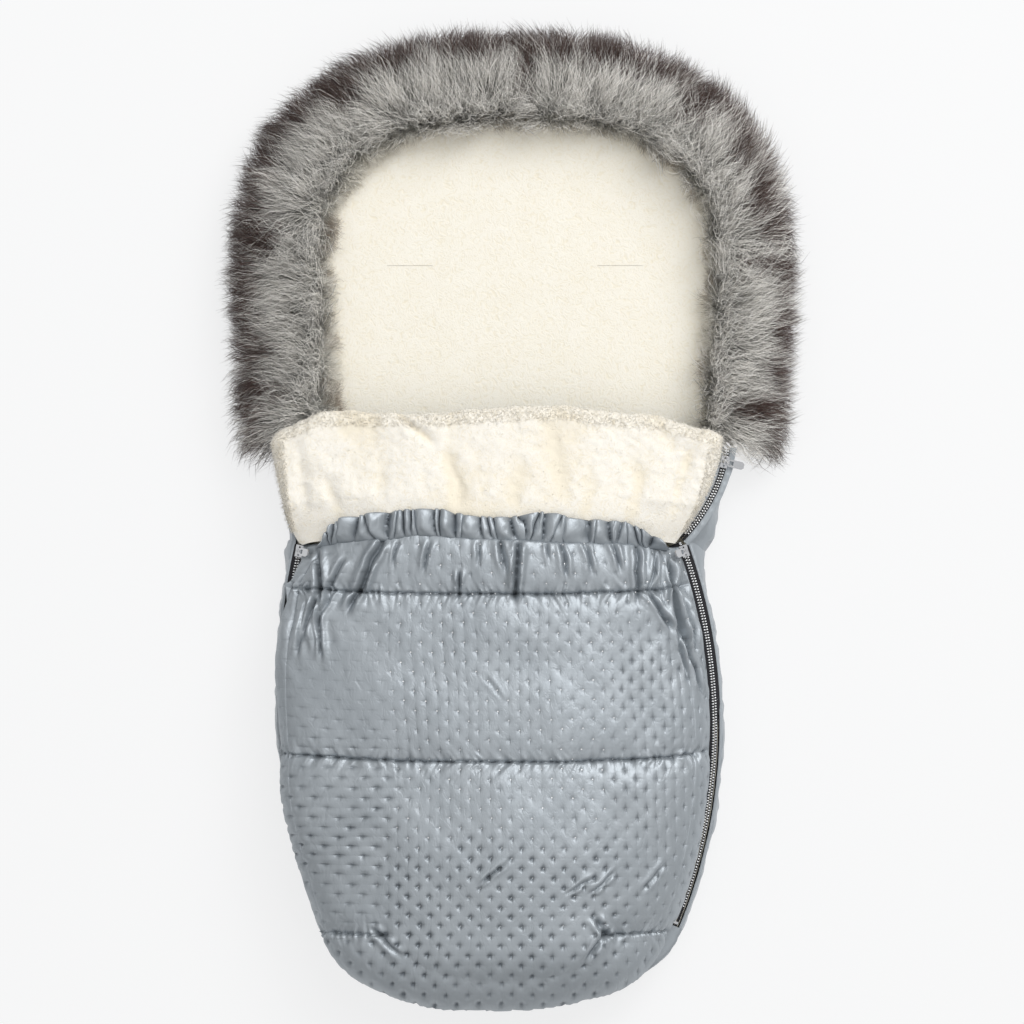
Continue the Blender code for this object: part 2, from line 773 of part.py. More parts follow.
tape_start = CHAIN_OUTER + TOUCH
apron_tape_end = tape_start + APRON_TAPE_WIDTH
back_zip_top = SLIDER_TOP_Y - SLIDER_LENGTH / 2 - RUNNING_GAP
back_zip_end = SLIDER_END_Y + SLIDER_LENGTH / 2 + RUNNING_GAP
tape_half = TAPE_HALF_THICKNESS
teeth_half = CHAIN_HALF_HEIGHT
top_stop_start = ZIP_TOP_Y + TOUCH
bottom_stop_end = ZIP_END_Y - TOUCH
for arc, side_name in ((SIDE_ARCS[LEFT], "left_"), (SIDE_ARCS[RIGHT], "right_")):
    back_run = (back_zip_end, back_zip_top)
    tape_across = (-apron_tape_end, -tape_start)
    teeth_across = (-CHAIN_OUTER, -CHAIN_INNER)
    rail(side_name + "back_tape", arc, *back_run, tape_start, WALL_OUTER, tape_half, BLACK_TAPE)
    rail(side_name + "back_chain", arc, *back_run, CHAIN_INNER, CHAIN_OUTER, teeth_half, SILVER)
    top_run = (top_stop_start, top_stop_start + STOP_LENGTH)
    bottom_run = (bottom_stop_end - STOP_LENGTH, bottom_stop_end)
    apron_pieces += [
        rail(side_name + "apron_tape", arc, ZIP_END_Y, MOUTH_Y, *tape_across, tape_half, BLACK_TAPE),
        rail(side_name + "apron_chain", arc, ZIP_END_Y, ZIP_TOP_Y, *teeth_across, teeth_half, SILVER),
        rail(side_name + "top_stop", arc, *top_run, *teeth_across, STOP_HALF_HEIGHT, CHROME, 1),
        rail(side_name + "bottom_stop", arc, *bottom_run, -CHAIN_OUTER, CHAIN_OUTER, STOP_HALF_HEIGHT, CHROME, 1),
    ]

neck = NECK_ARCS[RIGHT]
upper_run = (UPPER_ZIP_START_Y, UPPER_ZIP_END_Y)
rail("upper_outer_tape", neck, *upper_run, tape_start, WALL_OUTER, tape_half, BLACK_TAPE, 8)
rail("upper_outer_chain", neck, *upper_run, CHAIN_INNER, CHAIN_OUTER, teeth_half, SILVER, 8)
rail("upper_inner_chain", neck, *upper_run, -CHAIN_OUTER, -CHAIN_INNER, teeth_half, SILVER, 8)
rail("upper_inner_tape", neck, *upper_run, -WALL_OUTER, -tape_start, tape_half, BLACK_TAPE, 8)

# The toe binding joins the cover to the back round the foot end
binding_inset = ZIP_CLEAR + QUILT / 2
toe_steps = 9
binding_loops = []
toe_angles = [math.pi / 2 * lerp(BINDING_START_SHARE, 1.0, k / toe_steps) for k in range(toe_steps + 1)]
toe_line = [toe_place(LEFT, angle) for angle in toe_angles]
toe_line += [toe_place(RIGHT, angle) for angle in toe_angles[-2::-1]]
for k, point in enumerate(toe_line):
    ahead = toe_line[min(k + 1, len(toe_line) - 1)] - toe_line[max(k - 1, 0)]
    out = Vector((ahead.y, -ahead.x)).normalized()
    inner, outer = point - out * binding_inset, point + out * WALL_OUTER
    binding_loops.append([
        (inner.x, inner.y, ZIP_HEIGHT - tape_half),
        (outer.x, outer.y, ZIP_HEIGHT - tape_half),
        (outer.x, outer.y, ZIP_HEIGHT + tape_half),
        (inner.x, inner.y, ZIP_HEIGHT + tape_half),
    ])
rings("toe_binding", binding_loops, BACK_CLOTH)


# Sliders and pulls

plate_inner = CHAIN_HALF_HEIGHT + RUNNING_GAP
plate_outer = plate_inner + SLIDER_PLATE
lip_end = TAPE_HALF_THICKNESS + RUNNING_GAP
bridge_centre = plate_outer + BRIDGE_HEIGHT


def slider_section(width_share, length):
    """The slider's section: two plates with lips, joined by a thin web between the rows of teeth."""
    web = SLIDER_WEB / 2
    outer = SLIDER_HALF_WIDTH * width_share
    inner = outer - SLIDER_LIP
    quarter = [
        (web, plate_inner), (inner, plate_inner), (inner, lip_end), (outer, lip_end), (outer, plate_outer),
    ]
    right_up = quarter
    left_up = [(-x, z) for x, z in reversed(quarter)]
    left_down = [(-x, -z) for x, z in quarter]
    right_down = [(x, -z) for x, z in reversed(quarter)]
    return [Vector((x, length, z)) for x, z in right_up + left_up + left_down + right_down]


def frame_at(arc, y, height):
    """Axes at a place of a zip line: X outward, Y up the zip, Z up."""
    place = arc.place(y)
    angle = arc.angle(y)
    outward_dir = Vector((arc.side * math.cos(angle), math.sin(angle), 0))
    up = Vector((0, 0, 1))
    along = up.cross(outward_dir) * arc.side
    return Matrix((
        (outward_dir.x, along.x, 0, place.x),
        (outward_dir.y, along.y, 0, place.y),
        (0, 0, 1, height),
        (0, 0, 0, 1),
    ))


def bridge_loops():
    """The bridge over the slider's top plate, as a bar bent down at both ends into the plate."""
    foot = plate_outer - SLIDER_PLATE / 2
    high = bridge_centre
    path = [
        (-BRIDGE_HALF_LENGTH, foot), (-BRIDGE_HALF_LENGTH, high - BRIDGE_THICKNESS),
        (-BRIDGE_HALF_LENGTH + BRIDGE_THICKNESS, high), (BRIDGE_HALF_LENGTH - BRIDGE_THICKNESS, high),
        (BRIDGE_HALF_LENGTH, high - BRIDGE_THICKNESS), (BRIDGE_HALF_LENGTH, foot),
    ]
    loops = []
    half_width = BRIDGE_WIDTH / 2
    for k, (y, z) in enumerate(path):
        before_y, before_z = path[max(k - 1, 0)]
        after_y, after_z = path[min(k + 1, len(path) - 1)]
        along = Vector((after_y - before_y, after_z - before_z)).normalized()
        side_y, side_z = -along.y * BRIDGE_THICKNESS / 2, along.x * BRIDGE_THICKNESS / 2
        loops.append([
            (-half_width, y - side_y, z - side_z), (half_width, y - side_y, z - side_z),
            (half_width, y + side_y, z + side_z), (-half_width, y + side_y, z + side_z),
        ])
    return loops


def carry(carrier, pieces):
    """Pieces that follow a carrier, left where they are."""
    bpy.context.view_layer.update()
    for piece in pieces:
        piece.parent = carrier
        piece.matrix_parent_inverse = carrier.matrix_world.inverted()


def pivot(name, place):
    """An empty on a joint's axis."""
    made = bpy.data.objects.new(name, None)
    bpy.context.scene.collection.objects.link(made)
    made.location = place
    return made


def make_slider(name, arc, y):
    half = SLIDER_LENGTH / 2
    stations = ((SLIDER_TAIL_SHARE, -half), (SLIDER_TAIL_SHARE, 0.0), (1.0, half / 2), (1.0, half))
    body = rings(name, [slider_section(share, length) for share, length in stations], CHROME)
    bridge = rings(name + "_bridge", bridge_loops(), CHROME)
    carry(body, [bridge])
    body.matrix_world = frame_at(arc, y, ZIP_HEIGHT)
    boolean(body, bridge, "UNION")
    return body


def pull_frame_loops(turn):
    """The tab: a flat frame round a square hole, as an outer and an inner loop on two faces."""
    half_width, half_hole = PULL_WIDTH / 2, PULL_HOLE / 2
    start = (EYE_INNER_RADIUS + EYE_OUTER_RADIUS) / 2
    hole_start = EYE_OUTER_RADIUS + PULL_TIP
    hole_end = hole_start + PULL_HOLE
    outer = [
        (start, -half_hole), (start, half_hole), (hole_start, half_width), (PULL_LENGTH - PULL_TIP, half_width),
        (PULL_LENGTH, half_hole), (PULL_LENGTH, -half_hole), (PULL_LENGTH - PULL_TIP, -half_width),
        (hole_start, -half_width),
    ]
    middle = (hole_start + hole_end) / 2
    inner = [
        (hole_start, -half_hole), (hole_start, half_hole), (middle, half_hole), (hole_end, half_hole),
        (hole_end, half_hole / 2), (hole_end, -half_hole / 2), (hole_end, -half_hole), (middle, -half_hole),
    ]
    loops = []
    for outline, level in ((inner, -1), (outer, -1), (outer, 1), (inner, 1)):
        height = level * PULL_THICKNESS / 2
        loops.append([turn @ Vector((x, y, height)) for x, y in outline])
    return loops


def eye_loops():
    """The ring that goes round the slider's bridge."""
    sides = 14
    half = EYE_WIDTH / 2
    turns = [2 * math.pi * k / sides for k in range(sides)]
    inner, outer = EYE_INNER_RADIUS, EYE_OUTER_RADIUS
    corners = ((inner, -half), (outer, -half), (outer, half), (inner, half))
    return [[(radius * math.cos(a), y, radius * math.sin(a)) for a in turns] for radius, y in corners]


def make_pull(name, arc, y, angle, inward):
    """A pull lying at an angle above the zip's plane, inwards over the cover or outwards."""
    turn = Matrix.Rotation(-(math.pi - angle) if inward else -angle, 4, "Y")
    tab = rings(name, pull_frame_loops(turn), CHROME, capped=False)
    eye = rings(name + "_eye", eye_loops(), CHROME, capped=False)
    carry(tab, [eye])
    tab.matrix_world = frame_at(arc, y, ZIP_HEIGHT + bridge_centre)
    boolean(tab, eye, "UNION")
    return tab


left_slider = make_slider("left_slider", SIDE_ARCS[LEFT], SLIDER_TOP_Y)
right_slider = make_slider("right_slider", SIDE_ARCS[RIGHT], SLIDER_TOP_Y)
upper_slider = make_slider("upper_slider", neck, UPPER_SLIDER_Y)
left_pull = make_pull("left_pull", SIDE_ARCS[LEFT], SLIDER_TOP_Y, SIDE_PULL_ANGLE, True)
right_pull = make_pull("right_pull", SIDE_ARCS[RIGHT], SLIDER_TOP_Y, SIDE_PULL_ANGLE, True)
upper_pull = make_pull("upper_pull", neck, UPPER_SLIDER_Y, UPPER_PULL_ANGLE, False)


# What moves with what: each pull's own origin is on its pin, the rest hang on empties on their axes

apron_hinge = pivot("apron_hinge", (0, TOE_END_Y - WALL_OUTER + CLOTH, ZIP_HEIGHT))
cuff_hinge = pivot("cuff_hinge", (0, MOUTH_Y, cover_base + MOUTH_CROWN + CUFF_AXIS_RISE))
left_run = pivot("left_zip_centre", (*SIDE_ARCS[LEFT].centre, ZIP_HEIGHT))
right_run = pivot("right_zip_centre", (*SIDE_ARCS[RIGHT].centre, ZIP_HEIGHT))
upper_run_centre = pivot("upper_zip_centre", (*neck.centre, ZIP_HEIGHT))
carry(left_slider, [left_pull])
carry(right_slider, [right_pull])
carry(upper_slider, [upper_pull])
carry(left_run, [left_slider])
carry(right_run, [right_slider])
carry(upper_run_centre, [upper_slider])
carry(cuff_hinge, [cuff_shell, cuff_lining, frill])
carry(apron_hinge, apron_pieces + [cuff_hinge, left_run, right_run])
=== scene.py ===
# %% [markdown]
# # A footmuff with a fur collar
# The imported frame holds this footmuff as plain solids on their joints. Each cell below makes one cloth, pile
# or fitting of the real thing over its solid, in the same place. The camera and the light come first, so
# that every later cell can be looked at as it is made.

# %% Load the frame
import math

import bmesh
import bpy
import numpy as np
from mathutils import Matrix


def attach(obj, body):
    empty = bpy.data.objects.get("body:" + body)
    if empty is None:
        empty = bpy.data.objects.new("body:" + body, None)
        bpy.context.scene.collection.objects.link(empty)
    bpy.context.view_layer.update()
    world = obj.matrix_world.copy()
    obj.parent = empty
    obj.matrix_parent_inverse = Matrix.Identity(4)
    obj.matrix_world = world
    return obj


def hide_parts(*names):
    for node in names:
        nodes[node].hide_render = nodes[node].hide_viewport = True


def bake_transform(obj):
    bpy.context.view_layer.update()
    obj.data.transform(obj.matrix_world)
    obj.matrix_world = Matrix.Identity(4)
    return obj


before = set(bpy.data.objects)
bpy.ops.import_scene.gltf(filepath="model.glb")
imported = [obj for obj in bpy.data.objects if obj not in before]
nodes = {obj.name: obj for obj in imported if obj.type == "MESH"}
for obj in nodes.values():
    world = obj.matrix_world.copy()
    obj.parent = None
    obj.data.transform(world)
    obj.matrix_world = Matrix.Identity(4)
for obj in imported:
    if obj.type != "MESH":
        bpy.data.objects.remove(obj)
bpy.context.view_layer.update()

# %% [markdown]
# ## Camera, floor and light
# The footmuff is photographed from straight above on white paper. A long lens high up keeps its outline
# nearly free of perspective. The sky is brighter overhead than at the horizon, like a large soft box, so that
# satin which slopes away turns darker. One large lamp to the upper right gives the folds a bright and a dark
# side, and the object a faint shadow to the lower left.

# %% Camera, floor and light
CAMERA_PLACE = (0.002, 0.003)
CAMERA_HEIGHT = 4.0
SUBJECT_HEIGHT = 0.05
FRAME_WIDTH = 1.024
SENSOR_WIDTH = 36.0
KEY_PLACE, KEY_SIZE, KEY_POWER = (3.0, 3.4, 3.8), 3.0, 165
TOP_PLACE, TOP_SIZE, TOP_POWER = (0.5, 1.6, 3.2), 1.4, 19
SKY_AT_HORIZON, SKY_OVERHEAD = 0.10, 0.84

scene = bpy.context.scene
scene.view_settings.view_transform = "Standard"


def show(name, data):
    """Puts a camera, lamp, mesh or curve into the scene as a new object."""
    holder = bpy.data.objects.new(name, data)
    scene.collection.objects.link(holder)
    return holder


eye = bpy.data.cameras.new("camera")
eye.sensor_width = SENSOR_WIDTH
eye.lens = SENSOR_WIDTH * (CAMERA_HEIGHT - SUBJECT_HEIGHT) / FRAME_WIDTH
camera = show("camera", eye)
camera.location = (*CAMERA_PLACE, CAMERA_HEIGHT)
scene.camera = camera


def lamp(name, place, size, power):
    """A square soft lamp that faces the footmuff."""
    light = bpy.data.lights.new(name, "AREA")
    light.size = size
    light.energy = power
    holder = show(name, light)
    holder.location = place
    x, y, z = place
    holder.rotation_euler = (math.atan2(math.hypot(x, y), z), 0, math.atan2(x, -y))


lamp("key_lamp", KEY_PLACE, KEY_SIZE, KEY_POWER)
lamp("top_lamp", TOP_PLACE, TOP_SIZE, TOP_POWER)
sky = bpy.data.worlds.new("studio")
sky.use_nodes = True
sky_nodes = sky.node_tree
direction = sky_nodes.nodes.new("ShaderNodeTexCoord")
split = sky_nodes.nodes.new("ShaderNodeSeparateXYZ")
level = sky_nodes.nodes.new("ShaderNodeMapRange")
level.inputs["To Min"].default_value = SKY_AT_HORIZON
level.inputs["To Max"].default_value = SKY_OVERHEAD
sky_nodes.links.new(direction.outputs["Generated"], split.inputs[0])
sky_nodes.links.new(split.outputs["Z"], level.inputs["Value"])
sky_nodes.links.new(level.outputs[0], sky_nodes.nodes["Background"].inputs["Strength"])
sky_nodes.nodes["Background"].inputs["Color"].default_value = (1, 1, 1, 1)
scene.world = sky

# %% [markdown]
# ## Small tools
# Most of the cloth is made as grids of points worked out with numpy, because a rule in numbers can place
# every seam, fold and dimple. These helpers blend numbers, make soft random hills, and turn grids of points
# into closed meshes whose faces point outwards.

# %% Small tools
PIXELS_A_METRE = 1000
PIXEL_X, PIXEL_Y = 510, 515


def metres(x, y):
    """The place on the ground of a pixel of the photograph."""
    return (x - PIXEL_X) / PIXELS_A_METRE, (PIXEL_Y - y) / PIXELS_A_METRE


def pixel_column(x):
    """The pixel column of the photograph in which a place on the ground is."""
    return x * PIXELS_A_METRE + PIXEL_X


def lerp(a, b, share):
    return a + (b - a) * share


def layered(value, *layers):
    """A value that each layer in turn replaces by its own where its share is 1."""
    for share, other in layers:
        value = lerp(value, other, share)
    return value


def smooth(share):
    """0 below 0, 1 above 1, and a soft slope between."""
    share = np.clip(share, 0, 1)
    return share * share * (3 - 2 * share)


def signed_power(value, power):
    return np.sign(value) * np.abs(value) ** power


def unit(vectors):
    return vectors / np.maximum(np.linalg.norm(vectors, axis=-1, keepdims=True), 1e-12)


def cloud(x, y, size, seed):
    """Soft random hills from -1 to 1, about one size apart."""
    table = np.random.default_rng(seed).uniform(-1, 1, (64, 64))
    x, y = np.broadcast_arrays(x / size, y / size)
    i, j = np.floor(x).astype(int), np.floor(y).astype(int)
    across, along = smooth(x - i), smooth(y - j)
    corner = [[table[(i + a) % 64, (j + b) % 64] for b in (0, 1)] for a in (0, 1)]
    return lerp(lerp(corner[0][0], corner[1][0], across), lerp(corner[0][1], corner[1][1], across), along)


def grid_faces(rows, columns, ring=False, start=0):
    """Square faces over points counted row by row; a ring's last column meets its first."""
    i = np.arange(rows - 1)[:, None] * columns
    j = np.arange(columns if ring else columns - 1)[None, :]
    k = (j + 1) % columns
    return start + np.stack([i + j, i + k, i + columns + k, i + columns + j], -1).reshape(-1, 4)


def grid_normals(grid):
    """The direction square to a grid of points, at each point."""
    return unit(np.cross(np.gradient(grid, axis=1), np.gradient(grid, axis=0)))


def upward_normals(grid, limit):
    """The same, turned over where they point down past a limit."""
    normal = grid_normals(grid)
    return normal * np.where(normal[..., 2:] < limit, -1, 1)


def beside_line(x, y, x0, y0, x1, y1):
    """How far along a line between two pixels each place is, how far beside it, and how long the line is."""
    start = np.array(metres(x0, y0))
    run = np.array(metres(x1, y1)) - start
    length = np.hypot(*run)
    along = ((x - start[0]) * run[0] + (y - start[1]) * run[1]) / length
    return along, ((x - start[0]) * run[1] - (y - start[1]) * run[0]) / length, length


def mesh_piece(name, points, faces, finish, merge=False):
    """A smooth mesh piece with its faces outwards."""
    a, b, c, d = (points[faces[:, k]] for k in range(4))
    volume = (np.cross(a, b) * c).sum() + (np.cross(a, c) * d).sum()
    if volume < 0:
        faces = faces[:, ::-1]
    mesh = bpy.data.meshes.new(name)
    mesh.from_pydata(points.tolist(), [], faces.tolist())
    if merge:
        work = bmesh.new()
        work.from_mesh(mesh)
        bmesh.ops.remove_doubles(work, verts=work.verts, dist=0.00002)
        work.to_mesh(mesh)
        work.free()
    mesh.shade_smooth()
    mesh.materials.append(finish)
    return show(name, mesh)


def write_attribute(mesh, name, values):
    """Stores a number, a vector or a colour on each point, for a material or a node tree to read."""
    kind = {1: "FLOAT", 3: "FLOAT_VECTOR", 4: "FLOAT_COLOR"}[1 if values.ndim == 1 else values.shape[1]]
    slot = {"FLOAT": "value", "FLOAT_VECTOR": "vector", "FLOAT_COLOR": "color"}[kind]
    made = mesh.attributes.new(name, kind, "POINT")
    made.data.foreach_set(slot, np.ascontiguousarray(values, np.float32).ravel())


def shell(name, face, back, finish, cloth=None):
    """A closed sheet between a face grid and a back grid of points."""
    rows, columns = face.shape[:2]
    count = rows * columns
    top = grid_faces(rows, columns)
    low = grid_faces(rows, columns, start=count)[:, ::-1]
    edge = np.concatenate([
        np.arange(columns),
        columns * np.arange(1, rows) + columns - 1,
        (rows - 1) * columns + np.arange(columns - 2, -1, -1),
        columns * np.arange(rows - 2, 0, -1),
    ])
    ahead = np.roll(edge, -1)
    rim = np.stack([ahead, edge, edge + count, ahead + count], -1)
    points = np.concatenate([face.reshape(-1, 3), back.reshape(-1, 3)])
    piece = mesh_piece(name, points, np.concatenate([top, low, rim]), finish)
    piece.data.set_sharp_from_angle(angle=math.radians(65))
    if cloth is not None:
        write_attribute(piece.data, "cloth", np.tile(cloth.reshape(-1, 3), (2, 1)))
    return piece


# %% [markdown]
# ## Shader helpers
# A material is a small network of nodes. One helper adds a node and wires it in the same call, which keeps
# each finish below readable.

# %% Shader helpers
def put(tree, kind, inputs=None, **settings):
    """Adds a node; inputs maps a socket's name or number to a value or to another node's output."""
    node = tree.nodes.new(kind)
    for name, value in settings.items():
        setattr(node, name, value)
    for socket, value in (inputs or {}).items():
        if isinstance(value, bpy.types.NodeSocket):
            tree.links.new(value, node.inputs[socket])
        else:
            node.inputs[socket].default_value = value
    return node


def figure(tree, operation, *values):
    """A Math node's result."""
    return put(tree, "ShaderNodeMath", dict(enumerate(values)), operation=operation).outputs[0]


def group(name, inputs, outputs):
    """An empty shader node group with float and vector sockets."""
    tree = bpy.data.node_groups.new(name, "ShaderNodeTree")
    kinds = {"F": "NodeSocketFloat", "V": "NodeSocketVector", "C": "NodeSocketColor"}
    for label, kind in inputs.items():
        tree.interface.new_socket(label, in_out="INPUT", socket_type=kinds[kind])
    for label, kind in outputs.items():
        tree.interface.new_socket(label, in_out="OUTPUT", socket_type=kinds[kind])
    return tree, tree.nodes.new("NodeGroupInput").outputs, tree.nodes.new("NodeGroupOutput").inputs


def use(tree, made, inputs):
    """Adds a node group and returns its outputs."""
    return put(tree, "ShaderNodeGroup", inputs, node_tree=made).outputs


def stored(tree, name, output="Fac"):
    """Reads an attribute that a piece stores on its points."""
    return put(tree, "ShaderNodeAttribute", attribute_name=name).outputs[output]


def object_place(tree):
    return put(tree, "ShaderNodeTexCoord").outputs["Object"]


def bump(tree, height, strength, distance, below=None):
    """The normal of a surface with a bump on it, over another bump if there is one."""
    inputs = {"Height": height, "Strength": strength, "Distance": distance}
    if below is not None:
        inputs["Normal"] = below
    return put(tree, "ShaderNodeBump", inputs).outputs[0]


def finish_of(name, roughness, metallic=0.0, specular=0.5, sheen=0.0):
    """A new material with its shader; the caller wires colour and bump."""
    made = bpy.data.materials.new(name)
    made.use_nodes = True
    shader = made.node_tree.nodes["Principled BSDF"]
    shader.inputs["Roughness"].default_value = roughness
    shader.inputs["Metallic"].default_value = metallic
    shader.inputs["Specular IOR Level"].default_value = specular
    shader.inputs["Sheen Weight"].default_value = sheen
    return made, made.node_tree, shader


def tint(tree, share, low, high):
    """Mixes two colours by a share; each is three numbers or a node's output."""
    low, high = (end if isinstance(end, bpy.types.NodeSocket) else (*end, 1) for end in (low, high))
    return put(tree, "ShaderNodeMix", {0: share, 6: low, 7: high}, data_type="RGBA").outputs[2]


# %% [markdown]
# ## The pattern of the cover
# The cover is satin welded to its wadding at small pins, 20.5 mm apart in rows 9.6 mm apart, each row shifted
# by half a step. The cloth gathers between the pins: into short upright creases in the middle, into level
# grooves on the left, into upright ribs on the right, and into round pits at the toe. One formula gives all
# four: a pit at each pin that is sharper or longer across and along. The mesh uses it for the real relief,
# and this node group uses it again for the fine edge of each crease, for painted shade that darkens the cloth
# in the pits and crease lines, and for a painted glint at each pin. Every cover piece carries the two
# attributes that it reads, the place on the cloth and the kind of crease.

# %% The pattern of the cover
PIN_GAP = 0.0205
ROW_GAP = 0.0096
GLINT_SCALE = 1000.0


def welded_pins():
    """The marks of the welded pins: their height, how much painted shade darkens the cloth in them, and
    the pins' painted glint.
    """
    tree, given, out = group(
        "Welded pins", {"Cloth": "V", "Crease": "V"}, {"Height": "F", "Shade": "F", "Pin": "F"})
    place = put(tree, "ShaderNodeSeparateXYZ", {0: given["Cloth"]}).outputs
    kind = put(tree, "ShaderNodeSeparateXYZ", {0: given["Crease"]}).outputs

    def wave(value, gap, shift):
        turns = figure(tree, "MULTIPLY", figure(tree, "ADD", value, shift), 2 * math.pi / gap)
        return figure(tree, "COSINE", turns)

    def mark(across, along, sharp_across, sharp_along):
        """A mark at every pin: the nearer of the even and the odd rows."""
        marks = []
        for sign in (1.0, -1.0):
            short = figure(tree, "MULTIPLY", figure(tree, "MULTIPLY_ADD", across, sign, -1.0), sharp_across)
            long = figure(tree, "MULTIPLY", figure(tree, "MULTIPLY_ADD", along, sign, -1.0), sharp_along)
            marks.append(figure(tree, "EXPONENT", figure(tree, "ADD", short, long)))
        return figure(tree, "MAXIMUM", *marks)

    across, along = wave(place[0], PIN_GAP, 0.0), wave(place[1], 2 * ROW_GAP, 0.0)
    beside, below = wave(place[0], PIN_GAP, 0.0012), wave(place[1], 2 * ROW_GAP, 0.0008)
    level_line = figure(tree, "MULTIPLY", mark(across, along, 1.4, 22.0), kind[0])
    upright_line = figure(tree, "MULTIPLY", mark(across, along, 38.0, 1.3), kind[1])
    pit = figure(tree, "MULTIPLY", mark(beside, below, 5.5, 3.2), kind[2])
    lines = figure(tree, "ADD", level_line, upright_line)
    whole = figure(tree, "ADD", lines, pit)
    tree.links.new(figure(tree, "MULTIPLY", whole, -1.0), out["Height"])
    shade = figure(tree, "MULTIPLY_ADD", pit, 0.8, figure(tree, "MULTIPLY", lines, 0.45))
    tree.links.new(figure(tree, "MINIMUM", shade, 1.0), out["Shade"])
    dot = put(tree, "ShaderNodeMapRange", {0: mark(across, along, 1.0, 1.0), 1: 0.965, 2: 0.990}).outputs[0]
    tree.links.new(figure(tree, "MULTIPLY", dot, figure(tree, "MULTIPLY", place[2], GLINT_SCALE)), out["Pin"])
    return tree


def wrinkles():
    """Small soft creases that run up the cloth more than across it."""
    tree, given, out = group("Satin wrinkles", {"Cloth": "V"}, {"Height": "F"})
    squeezed = put(
        tree, "ShaderNodeVectorMath", {0: given["Cloth"], 1: (1.0, 0.5, 1.0)}, operation="MULTIPLY")
    soft = put(tree, "ShaderNodeTexNoise", {
        "Vector": squeezed.outputs[0], "Scale": 150.0, "Detail": 3.0, "Roughness": 0.55, "Distortion": 0.7})
    ridge = figure(tree, "ABSOLUTE", figure(tree, "SUBTRACT", soft.outputs[0], 0.5))
    tree.links.new(figure(tree, "MULTIPLY_ADD", ridge, -2.0, soft.outputs[0]), out["Height"])
    return tree


def woven():
    """Fine cloth grain and its slow change of shade."""
    tree, given, out = group("Cloth grain", {"Place": "V", "Scale": "F"}, {"Height": "F", "Shade": "F"})
    fine = put(tree, "ShaderNodeTexNoise", {"Vector": given["Place"], "Scale": given["Scale"], "Detail": 2.0})
    slow = put(tree, "ShaderNodeTexNoise", {"Vector": given["Place"], "Scale": 22.0, "Detail": 3.0})
    tree.links.new(fine.outputs[0], out["Height"])
    tree.links.new(slow.outputs[0], out["Shade"])
    return tree


PINS = welded_pins()
WRINKLES = wrinkles()
GRAIN = woven()
SATIN_LOW, SATIN_HIGH = (0.340, 0.375, 0.405), (0.430, 0.465, 0.495)
# The next colour is painted shade, mixed into the satin in its folds, seams, pleats and pin pits.
SATIN_PAINTED_SHADE = (0.100, 0.118, 0.138)
PAINTED_PIN_GLINT = (0.95, 0.95, 0.95)


def satin(name, pinned):
    """The outer cloth; pinned satin also shows the marks of the welded pins."""
    made, tree, shader = finish_of(name, 0.45, metallic=0.46, specular=0.4, sheen=0.05)
    shader.inputs["Sheen Roughness"].default_value = 0.4
    place = stored(tree, "cloth", "Vector") if pinned else object_place(tree)
    grain = use(tree, GRAIN, {"Place": place, "Scale": 300.0})
    colour = tint(tree, grain["Shade"], SATIN_LOW, SATIN_HIGH)
    # Painted shade: darker where a piece stores its folds, seams and pleats.
    colour = tint(tree, stored(tree, "painted_shade"), colour, SATIN_PAINTED_SHADE)
    relief = bump(tree, grain["Height"], 0.12, 0.001)
    creased = use(tree, WRINKLES, {"Cloth": place})
    relief = bump(tree, creased["Height"], 0.22 if pinned else 0.18, 0.0022, relief)
    if pinned:
        pins = use(tree, PINS, {"Cloth": place, "Crease": stored(tree, "crease", "Vector")})
        # Painted shade: the pits and crease lines at the pins darken the satin's colour.
        pin_painted_shade = figure(tree, "MULTIPLY", pins["Shade"], 0.80)
        colour = tint(tree, pin_painted_shade, colour, SATIN_PAINTED_SHADE)
        # Painted highlight: a near-white glint is painted at the pins in the middle of the cover.
        colour = tint(tree, pins["Pin"], colour, PAINTED_PIN_GLINT)
        relief = bump(tree, pins["Height"], 0.7, 0.0014, relief)
    tree.links.new(colour, shader.inputs["Base Color"])
    tree.links.new(relief, shader.inputs["Normal"])
    return made


cover_satin = satin("pinned_satin", True)
plain_satin = satin("plain_satin", False)

# %% [markdown]
# ## Fleece
# The lining is a short cream lambswool pile. Up close it is a felt of curls a few millimetres long. A noise
# texture that is bent by another noise gives those worm-like curls, and their colour follows their height as
# painted shade: paler on top, darker and yellower in the hollows.

# %% Fleece
FLEECE_LOW, FLEECE_HIGH = (0.890, 0.825, 0.670), (0.960, 0.925, 0.830)
CUFF_LOW, CUFF_HIGH = (0.905, 0.835, 0.690), (0.975, 0.945, 0.880)


def curls():
    """Worm-like curls of wool: their height, and a colour share that mixes a slow change of tone with
    painted shade in the curls' hollows.
    """
    tree, given, out = group("Curls", {"Place": "V", "Scale": "F"}, {"Height": "F", "Shade": "F"})
    worm = put(tree, "ShaderNodeTexNoise", {
        "Vector": given["Place"], "Scale": given["Scale"], "Detail": 2.0, "Roughness": 0.55,
        "Distortion": 1.6})
    ridge = figure(tree, "ABSOLUTE", figure(tree, "SUBTRACT", worm.outputs[0], 0.5))
    slow = put(tree, "ShaderNodeTexNoise", {"Vector": given["Place"], "Scale": 35.0, "Detail": 3.0})
    height = figure(tree, "MULTIPLY_ADD", ridge, -5.0, 1.0)
    # Painted shade: the lower the curl, the darker and yellower the wool is painted.
    shade = figure(tree, "MULTIPLY_ADD", slow.outputs[0], 0.5, figure(tree, "MULTIPLY", height, 0.62))
    tree.links.new(height, out["Height"])
    tree.links.new(shade, out["Shade"])
    return tree


CURLS = curls()


